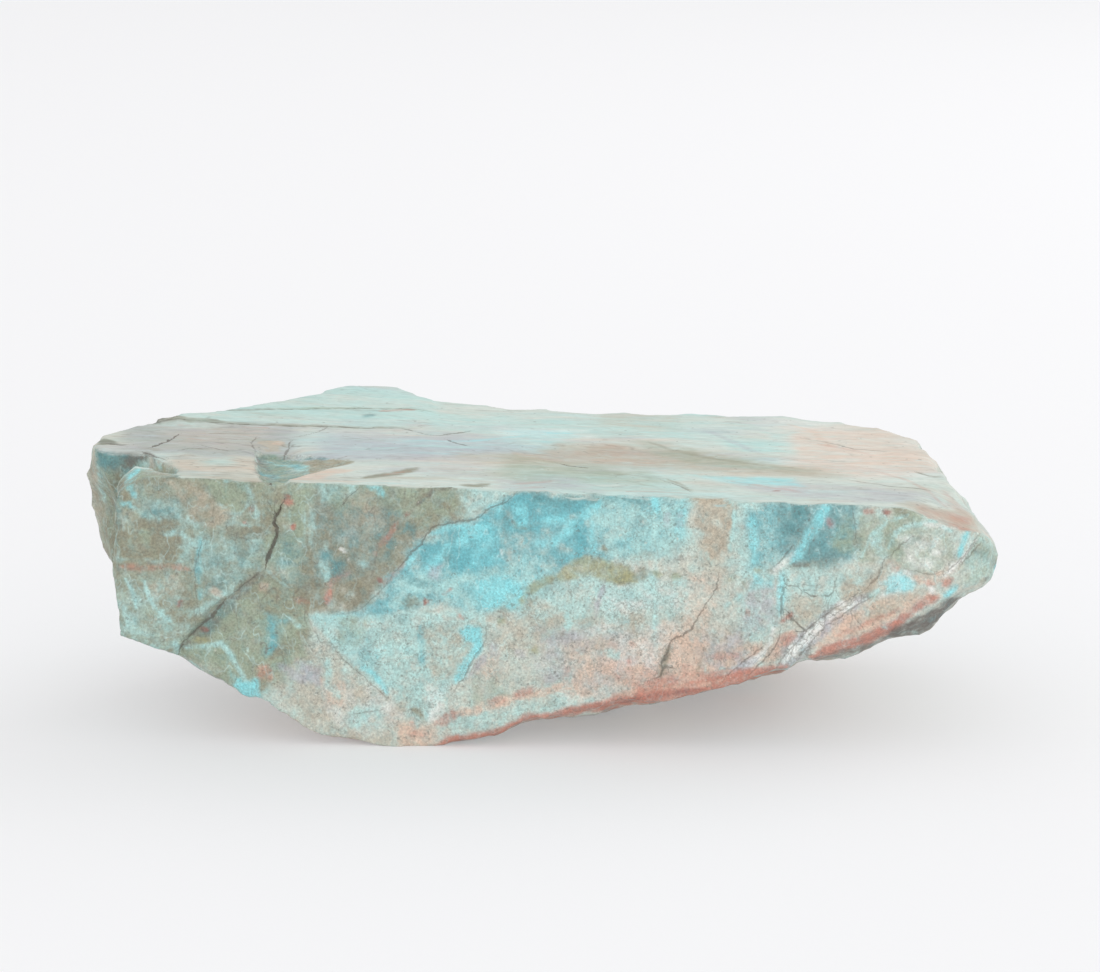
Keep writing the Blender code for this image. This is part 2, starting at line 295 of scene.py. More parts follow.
def carveSlab(piece):
    # every point moves along the direction that it faces by the sum of its face's relief: breaks on
    # the rough sides, swells on the front and the top, less the hollow, the chip and the grooves
    points, facing, pairs = readMesh(piece.data)
    front, top = faceShares(points, facing)
    for _ in range(slab["blendRounds"]):
        front, top = neighbourMean(np.stack([front, top], axis=1), pairs).T
    rough = np.clip(1 - front - top, 0, 1)
    standing = smoothStep(*slab["roughFrom"], points[:, 2])
    rise = rough * standing * (layeredNoise(points, slab["lumps"], 3)
                               + sum(height * scoopNoise(points, size, 40 + n)
                                     for n, (size, height) in enumerate(slab["scoops"])))
    rise += front * layeredNoise(points, slab["frontSwells"], 5)
    streaky = points * (slab["topDrawnOut"], 1.0, 1.0)
    (middleX, middleY), (reachX, reachY), depth = slab["hollow"]
    inHollow = np.hypot((points[:, 0] - middleX) / reachX, (points[:, 1] - middleY) / reachY)
    rise += top * (layeredNoise(streaky, slab["topSwells"], 7) - depth * smoothStep(1.15, 0.25, inHollow))
    # the upper corner at the left of the front block is worn away to the right
    worn = np.prod([smoothStep(*band, place) for band, place in zip(slab["worn"], points.T)], axis=0)
    points = points + worn[:, None] * slab["wornShift"]
    # the chip broken out of the top is deep at the left and runs out at the right
    inChip = smoothStep(-0.3, 0.7, outlineDepth(points[:, :2] + 0.5 * bending(points[:, :2]), chipOutline))
    rise -= top * slab["chip"] * inChip * smoothStep(*slab["chipRunsOut"], points[:, 0])
    rise -= grooveDepth(points, front, top)
    points = points + rise[:, None] * facing
    points[:, 2] = np.maximum(points[:, 2], 0.0)
    writePoints(piece.data, points)
    print("slab carved")
    return front, top


def thinHiddenSides(piece, front, top):
    # the front keeps all its points, the top most of them, and the other sides the fewest
    hidden = piece.vertex_groups.new(name="thinned")
    for isThere, weight in ((top > 0.4, slab["topWeight"]), (top <= 0.4, slab["sideWeight"])):
        hidden.add(np.nonzero(isThere & (front < 0.05))[0].tolist(), weight, "REPLACE")
    thinning = piece.modifiers.new("fewer faces", "DECIMATE")
    thinning.ratio = slab["thinnedTo"]
    thinning.vertex_group = hidden.name
    applyModifiers(piece)
    piece.vertex_groups.clear()
    print("slab has", sum(len(face.vertices) - 2 for face in piece.data.polygons), "triangles")


# Each mineral's colour as it shows on the dry broken stone. Three share one attribute.
minerals = {
    "aqua": "#b0d8d4",       # pale chalky turquoise
    "sky": "#8fdde3",        # bright clean turquoise
    "turquoise": "#6ab2ba",  # full turquoise
    "teal": "#5f9093",       # dark blue-green turquoise, which with the dark is also painted shade in the pocket and under the slanting ledge
    "green": "#98a58f",      # grey-green clay
    "brown": "#8d8974",      # brown-olive limonite
    "tan": "#b9ae9b",        # sandy clay
    "peach": "#d8bca8",      # clay with a little iron
    "rust": "#bf8170",       # red oxide
    "red": "#96574a",        # dark red oxide
    "ochre": "#a3a27c",      # yellow-olive limonite
    "grey": "#b3b4ba",       # blue-grey clay
    "white": "#e9ebe6",      # kaolin and quartz
    "dark": "#6b655f",       # manganese crust, and painted shade in the pocket at the left end and under the slanting ledge
}
clay = "#c9c8bb"             # the pale host rock that lies between them
# Marks finer than the mesh: the attributes hold how thick they lie, and the material draws them.
fineMarks = {
    "specks": "#72746c",     # dots of host rock
    "paleLines": "#c4e2df",  # hairline veins of pale turquoise
    "darkLines": "#77736a",  # closed hairline cracks
}
laidNames = list(minerals) + list(fineMarks)

painting = {
    "bends": ((6.5, 1.00), (2.4, 0.45), (1.0, 0.22)),    # mm, size and reach of the raggedness of edges
    "crackBend": 0.3,                                    # share of it that bends a crack, and a streak
    "streakBend": 0.4,
    "mottles": ((3.6, 0.22), (1.3, 0.20)),               # mm and share, unevenness inside an area
    "mottleMean": 0.92,
    "gaps": ((5.0, 0.8), (1.5, 0.4)),                    # mm and height, where a hairline of a border stops
    "leastFace": 0.02,                                   # share of a face, and amount, too small to paint
    "leastAmount": 0.004,
    # clouds on the sides that the photo doesn't show, and soft streaks on the top: mm and height
    "turquoiseClouds": ((32.0, 1.0), (12.0, 0.6), (5.0, 0.35)),
    "clayClouds": ((26.0, 1.0), (10.0, 0.6), (4.0, 0.35)),
    "ironClouds": ((20.0, 1.0), (8.0, 0.6), (3.0, 0.35)),
    "veins": ((24.0, 1.0), (9.0, 0.45), (3.5, 0.2)),
    "topClouds": ((11.0, 1.0), (4.2, 0.6), (1.8, 0.4)),
    "topDrawnOut": 0.28,                                 # they are drawn out along X by the inverse of this
    # how far the amounts of the lists are raised, how much more ragged the edges are along the two
    # directions of the face, and how strong the hairline along the border of an area is
    "front": {"strength": 1.7, "stretch": (1.0, 1.0), "rim": 0.6},
    "top": {"strength": 1.6, "stretch": (1.3, 2.6), "rim": 0.0},
}


def bending(flat):
    # two noises that carry a point sideways, so that what is drawn on it gets ragged edges
    points = np.column_stack([flat, np.zeros(len(flat))])
    return np.stack([layeredNoise(points, painting["bends"], seed) for seed in (61, 62)], axis=1)


# What lies on the front, in millimetres of X and Z. First what is there all over, and how much of it.
frontGround = {"aqua": 0.26, "white": 0.06, "tan": 0.12, "specks": 0.24, "paleLines": 0.30, "darkLines": 0.30}

# Areas: the minerals or marks laid there, each with its amount and how soft its edge is in
# millimetres, and then the outline.
frontAreas = [
    # the broken left end, and the pocket behind its corner, whose green, teal and dark areas are its own
    # grey-green darkened with painted shade
    (("tan", 0.45, 0.8), ("brown", 0.35, 0.8), [(-97.5, 69.5), (-95.2, 66.9), (-93.7, 55.7), (-92.5, 51),
        (-91.5, 40), (-99, 38), (-103, 55), (-103, 66)]),
    (("green", 0.97, 0.3), [(-95.6, 68.4), (-92.1, 68.2), (-88.8, 67.6), (-85.4, 67.2), (-84.4, 65),
        (-86.1, 62.8), (-89.4, 61.4), (-91.5, 58.2), (-92.3, 54.4), (-92.4, 46), (-94, 46), (-94.4, 57)]),
    (("teal", 0.46, 0.4), [(-95.4, 68.2), (-88.8, 67.6), (-85.4, 67.2), (-84.4, 65), (-86.1, 62.6),
        (-90.4, 59), (-92.3, 54.4), (-92.4, 46), (-93.6, 46), (-94.4, 57)]),
    (("dark", 0.58, 0.4), [(-91.6, 67.6), (-85.4, 67.2), (-84.4, 65), (-86.1, 62.8), (-89.4, 61.4),
        (-91.5, 58.2), (-92.3, 54.4), (-92.4, 46), (-93.6, 46), (-93.9, 57)]),
    (("tan", 0.60, 0.5), ("white", 0.35, 0.5), [(-84.8, 68), (-78, 67), (-74, 63), (-84, 63.6)]),
    (("brown", 0.55, 0.5), [(-85.6, 67.2), (-83, 66.6), (-82.4, 65), (-84.6, 64.4)]),
    (("teal", 0.50, 0.6), [(-95.2, 67.4), (-92.1, 67), (-88.8, 66.1), (-90.7, 63.8), (-93.8, 62.2),
        (-94.8, 64.4)]),
    # hairlines and specks
    (("paleLines", 0.35, 2.0), [(-95, 62), (-47, 61), (-46, 31), (-79, 17), (-95, 19)]),
    (("paleLines", 0.35, 3.0), [(-45, 31), (-33, 36), (-20, 52), (2, 55), (8, 30), (-6, 12), (-30, 12)]),
    (("paleLines", 0.55, 2.0), [(60, 59), (102, 56), (101, 44), (90, 38), (66, 34)]),
    (("darkLines", 0.35, 2.0), [(52, 47), (62, 48), (76, 38), (72, 24), (52, 18)]),
    (("darkLines", 0.45, 2.0), ("paleLines", 0.40, 2.0), [(-78, 24), (-60, 38), (-50, 33), (-50, 20),
        (-64, 13)]),
    (("darkLines", 0.35, 2.0), [(-95, 62), (-16, 60), (-34, 36), (-50, 30), (-60, 14), (-79, 17),
        (-95, 19)]),
    (("specks", 0.60, 2.0), [(-50, 30), (-16, 30), (0, 40), (18, 50), (34, 58), (34, 26), (-16, 8),
        (-40, 10)]),
    (("specks", 0.45, 2.0), [(-62, 18), (-50, 28), (-36, 30), (-8, 30), (10, 38), (34, 38), (36, 20),
        (20, 12), (-20, 2), (-46, 2)]),
    (("darkLines", 0.60, 2.0), [(36, 26), (48, 29), (50, 20), (38, 17.5)]),
    (("specks", 0.60, 2.0), [(36, 25), (47, 27), (49, 20), (38, 17.5)]),
    (("specks", 0.42, 3.0), [(20, 58), (60, 58), (62, 22), (20, 14)]),
    # left block
    (("green", 0.72, 1.5), ("brown", 0.48, 3.0), [(-95, 62), (-60, 62), (-57, 52), (-59, 41), (-66, 35),
        (-73, 28), (-79, 19), (-95, 19)]),
    (("aqua", 0.22, 3.0), [(-94, 38), (-80, 38), (-74, 28), (-80, 19), (-95, 19)]),
    (("dark", 0.07, 3.0), [(-95, 62), (-47, 62), (-50, 46), (-75, 40), (-95, 40)]),
    (("aqua", 0.05, 3.0), [(-90, 60), (-62, 60), (-62, 40), (-76, 26), (-88, 30), (-80, 44)]),
    (("brown", 0.45, 1.5), [(-92, 50), (-77.5, 51), (-77.5, 41.5), (-92, 42)]),
    (("aqua", 0.26, 1.5), [(-78, 52), (-72.5, 52), (-72, 40), (-78, 40)]),
    (("green", 0.85, 0.8), [(-73, 60), (-63, 60), (-63, 55.5), (-65.5, 52.5), (-68.5, 52), (-70.5, 56)]),
    (("brown", 0.30, 1.0), ("tan", 0.30, 1.0), [(-81, 60), (-76, 60), (-66, 52), (-68, 50), (-74, 51),
        (-77, 55)]),
    (("tan", 0.30, 1.0), [(-86, 37), (-78, 38.5), (-77, 33.5), (-84, 33)]),
    (("brown", 0.35, 1.2), [(-84, 32), (-76, 38), (-75, 30), (-80, 27)]),
    (("teal", 0.18, 1.2), ("aqua", 0.10, 1.2), [(-73.5, 46), (-60, 49), (-58.5, 42), (-66, 36), (-73, 33)]),
    (("teal", 0.20, 1.0), ("aqua", 0.22, 1.0), [(-88, 56), (-78, 55.5), (-77.5, 51.5), (-84, 50.5)]),
    (("brown", 0.45, 1.0), [(-66.5, 49.5), (-60, 50), (-60, 46), (-65, 46.5)]),
    # between the red crack and the brown region
    (("green", 0.70, 1.5), [(-60, 61), (-47, 61), (-49, 44), (-52, 31), (-60, 40)]),
    (("brown", 0.45, 1.5), [(-60, 60), (-54, 60), (-55, 48), (-60, 48)]),
    (("green", 0.85, 0.8), [(-53.5, 58.5), (-50, 58), (-50, 47), (-53, 47)]),
    (("teal", 0.28, 1.8), [(-57, 48), (-46.5, 48), (-45, 33), (-52, 33), (-58, 40)]),
    # below the slanting ledge; the first area, teal and dark, is painted shade under the ledge's step
    (("teal", 0.12, 2.5), ("dark", 0.10, 2.0), [(-78, 24), (-60, 38), (-54, 34), (-64, 20)]),
    (("brown", 0.50, 2.5), ("green", 0.60, 1.5), [(-80, 21), (-60, 40), (-50, 33), (-50, 20), (-60, 12),
        (-70, 13)]),
    (("brown", 0.35, 1.2), [(-68, 36), (-58, 39), (-50, 34), (-50, 30), (-60, 30)]),
    (("turquoise", 0.22, 1.2), [(-60, 29.5), (-55, 29), (-57, 22), (-60.5, 20)]),
    (("green", 0.70, 0.8), [(-71.5, 22.5), (-67.5, 22), (-68, 18.5), (-73, 18.5)]),
    (("sky", 0.70, 0.8), [(-67.5, 18), (-64.5, 15), (-61, 15), (-60.5, 11), (-67, 11)]),
    # brown region
    (("dark", 0.12, 2.0), [(-47, 60), (-24, 60), (-20, 56), (-30, 48), (-46, 46)]),
    (("brown", 0.72, 1.5), [(-50, 47), (-47, 61), (-24, 61), (-16, 58), (-14, 52.3), (-19, 50.9),
        (-23.4, 49), (-26.4, 44.6), (-32.5, 36.9), (-38.7, 31.7), (-44, 31), (-51, 30), (-53, 36)]),
    (("teal", 0.22, 2.5), [(-47, 61), (-30, 60), (-28, 46), (-36, 40), (-48, 38)]),
    (("green", 0.50, 2.5), [(-47, 61), (-14, 61), (-16, 53), (-24, 50), (-30, 55), (-44, 54)]),
    (("tan", 0.25, 1.8), [(-41, 57), (-34, 57.5), (-34, 49), (-40, 49)]),
    (("brown", 0.35, 1.5), [(-39.5, 41), (-33.5, 41), (-33, 37), (-38, 33), (-40, 34)]),
    (("aqua", 0.35, 1.2), [(-48, 61), (-38, 61), (-40, 56.5), (-46, 56)]),
    (("aqua", 0.65, 1.2), [(-16, 60), (-5, 60), (-6, 56.3), (-11, 54), (-15, 53)]),
    # turquoise band
    (("turquoise", 0.66, 1.5), [(-44, 30.5), (-38.7, 31.7), (-32.5, 36.9), (-26.4, 44.6), (-19, 50.9),
        (-11.8, 52.9), (-4.1, 58), (34, 58.5), (33, 50), (26, 44), (15, 43), (6, 41), (1, 36), (-2, 31),
        (-12, 31), (-20, 34), (-34, 30)]),
    (("turquoise", 0.30, 3.0), ("aqua", 0.50, 2.0), [(-31, 38), (-24, 41), (-12, 41), (2, 44), (4, 38),
        (-2, 31), (-12, 31), (-20, 34), (-34, 31)]),
    (("aqua", 0.60, 2.0), [(14, 58), (34, 58), (33, 49), (27, 43), (15, 43), (13.5, 50)]),
    (("turquoise", 0.80, 1.5), [(-19, 50), (-12, 52), (-8, 50), (-7, 43), (-13, 40), (-19, 41)]),
    (("sky", 0.25, 1.5), [(-17, 49), (-9, 50), (-8, 43), (-14, 42)]),
    (("turquoise", 0.80, 1.2), [(-26, 46.5), (-20, 48), (-19, 41), (-24, 41)]),
    (("grey", 0.45, 1.0), [(-24, 42), (-20.5, 42), (-20, 38.5), (-24, 39)]),
    (("sky", 0.65, 1.5), [(-15, 38), (-7, 40), (-2, 37), (-2, 31.3), (-9, 30.6), (-13, 32)]),
    (("turquoise", 0.75, 1.2), [(-6, 57.5), (8, 58), (14, 57), (8, 52), (-4, 50)]),
    (("teal", 0.35, 1.0), [(-1, 58), (13, 58), (12, 56), (0, 55.5)]),
    # speckled pale block
    (("aqua", 0.55, 1.0), [(-49.8, 29.8), (-44, 30.8), (-34, 31), (-12.5, 31.5), (-10.5, 27), (-12, 23.5),
        (-14.5, 19.5), (-17.5, 14.5), (-20, 8), (-25, 4.5), (-33.3, 11), (-38.7, 16.8), (-44.8, 23.3)]),
    (("green", 0.35, 1.0), [(-43, 30), (-36.5, 30), (-38.5, 22.5), (-42.5, 22.5)]),
    (("turquoise", 0.12, 1.5), [(-49, 29.5), (-44, 30), (-42, 21), (-36, 15), (-34, 13), (-34, 22),
        (-37, 25)]),
    # pale lower left
    (("white", 0.38, 2.0), [(-50, 16), (-36, 13), (-28, 8), (-34, 2), (-46, 6)]),
    (("white", 0.40, 2.5), [(14, 36), (34, 37), (33, 27), (14, 26)]),
    (("tan", 0.25, 2.0), [(-61, 17), (-48, 23), (-36, 13), (-28, 10), (-26, -2), (-46, -2)]),
    (("grey", 0.50, 1.2), [(-52, 19), (-46.5, 18.5), (-47, 14), (-52, 14.5)]),
    (("peach", 0.35, 1.2), [(-47, 16), (-41, 15), (-42, 9), (-47, 9)]),
    (("aqua", 0.45, 1.5), [(-41, 9), (-34, 9), (-33, 4), (-40, 4)]),
    (("green", 0.35, 2.0), [(-62, 20), (-50, 28), (-49, 21), (-54, 14)]),
    # middle and lower right
    (("aqua", 0.45, 2.5), [(-1, 36), (5, 40), (34, 40), (34, 27), (2, 25)]),
    (("tan", 0.35, 1.5), [(-24, 28), (-13, 28), (-14, 18), (-22, 14)]),
    (("tan", 0.28, 2.5), [(-12, 29), (0, 34), (10, 30), (34, 33), (34, 24), (4, 22), (-9, 22)]),
    (("grey", 0.30, 2.5), [(0, 27), (28, 27), (26, 17), (12, 13), (1, 14)]),
    (("peach", 0.45, 2.0), [(-13, 21), (-7, 21), (-8, 15), (-12, 15)]),
    (("peach", 0.55, 1.5), [(-31, 7), (-22, 6), (-22, -1), (-31, -1)]),
    (("white", 0.40, 1.5), [(-24, 14), (-19, 14), (-18, 7), (-23, 6)]),
    (("green", 0.30, 1.5), [(-14, 16), (-6, 16), (-4, 11), (-14, 10)]),
    (("white", 0.25, 1.5), [(7, 14), (22, 14.5), (21, 11), (7, 9.5)]),
    (("aqua", 0.30, 1.5), [(-20, 7), (5, 11), (22, 14), (20, 11), (0, 7), (-18, 3)]),
    (("peach", 0.65, 1.2), [(-12, 10), (-2, 12.5), (8, 16), (10, 13.5), (0, 10.5), (-10, 8.7)]),
    (("peach", 0.45, 3.0), [(6, 22), (20, 25), (30, 29), (40, 27), (50, 26), (52, 20), (34, 14), (10, 11)]),
    (("white", 0.24, 2.5), [(18, 26), (32, 28), (32, 20), (18, 18)]),
    (("rust", 0.14, 3.0), [(16, 18), (34, 22), (50, 24), (50, 19), (34, 15), (18, 12)]),
    # centre right
    (("aqua", 0.45, 2.0), [(43, 57), (53, 57), (53, 42), (47, 36), (42, 41)]),
    (("turquoise", 0.40, 2.0), [(46, 55), (53, 56), (52, 41), (46, 41)]),
    (("tan", 0.85, 1.2), [(34.3, 58.5), (41.5, 58.8), (43.4, 55), (43, 50), (41.5, 46), (38, 42.5), (36, 46),
        (35.3, 52)]),
    (("tan", 0.22, 1.5), [(35, 51), (42.5, 51), (41, 40), (36, 40)]),
    (("ochre", 0.72, 0.7), [(4, 39.3), (6.5, 41.5), (10, 42.8), (15.5, 43), (20.5, 41.4), (21.7, 38),
        (17, 38), (11, 38.6), (5, 38.6)]),
    (("peach", 0.25, 2.0), [(34, 40), (41, 40), (40, 27), (33, 27)]),
    (("peach", 0.50, 1.2), [(30, 26), (35, 28.5), (37, 25), (36, 16), (28, 15)]),
    (("tan", 0.45, 2.0), [(36, 27), (47, 28), (47, 19), (38, 18)]),
    (("peach", 0.30, 2.0), [(36, 25), (46, 25), (46, 19), (38, 18)]),
    (("grey", 0.30, 2.0), [(36, 27), (47, 28), (47, 19), (38, 18)]),
    (("aqua", 0.30, 1.5), [(44, 34), (52, 36), (53, 28), (46, 26)]),
    (("grey", 0.30, 1.5), [(47, 38), (53, 38), (54, 29), (45, 28)]),
    (("sky", 0.55, 1.0), [(47.5, 39.5), (52.5, 39.5), (52, 37), (48, 37)]),
    # dark turquoise at the right
    (("turquoise", 0.45, 2.0), [(50, 57), (72, 57), (71, 46), (64, 42), (52, 44)]),
    (("teal", 0.55, 2.0), [(52.5, 57.3), (62, 57), (59.5, 50), (57, 45.5), (52.5, 46)]),
    (("teal", 0.55, 1.8), [(63.5, 57), (71, 57), (70, 47), (66, 43), (57.5, 43), (60, 47)]),
    (("green", 0.55, 1.2), [(65.5, 53), (70, 53), (70, 46.5), (65.5, 46)]),
    (("brown", 0.45, 1.0), [(56, 43.6), (66, 43.8), (66, 41.6), (56, 41.8)]),
    (("aqua", 0.35, 1.5), [(54, 42), (73, 42), (66, 33), (54, 33)]),
    (("tan", 0.40, 1.5), [(56, 34), (64, 34.5), (62, 28), (57, 29)]),
    (("green", 0.50, 1.5), [(71, 54), (80, 53), (79, 45), (71, 44)]),
    (("green", 0.50, 1.2), [(77, 56), (85, 56), (84, 52), (79, 51)]),
    (("green", 0.30, 0.8), [(77, 50), (82, 51.5), (90, 50), (91, 45), (86, 41), (80, 41.5), (77, 45)]),
    (("white", 0.30, 1.5), [(79, 49), (88, 49), (89, 44), (84, 42), (80, 44)]),
    (("white", 0.40, 1.4), [(74, 40), (79, 41.5), (83, 39), (82.5, 36), (76, 35)]),
    (("sky", 0.36, 1.0), [(75, 39.5), (79, 41.5), (83, 39), (82.5, 36), (77, 35.5)]),
    (("tan", 0.70, 1.0), [(85, 57), (93, 55), (93, 51.5), (85, 53)]),
    (("tan", 0.45, 1.2), [(67, 41), (75, 42), (77, 37), (71, 34), (66, 36)]),
    # salmon facet and the right tip
    (("peach", 0.60, 1.0), [(60, 23.5), (64, 24), (74, 28), (88, 36), (84, 36), (73, 34.5), (66, 31)]),
    (("peach", 0.75, 0.8), [(62, 27), (66, 30.5), (71, 31.5), (71.5, 27.5), (64, 25.5)]),
    (("tan", 0.40, 1.0), [(74, 35), (86, 36.5), (80, 31), (73, 29)]),
    (("aqua", 0.40, 1.0), [(93, 45), (97, 49), (101, 47), (102, 40), (96, 39)]),
    (("green", 0.25, 1.2), [(92, 44), (97, 49), (101, 46), (101, 41), (94, 38)]),
]

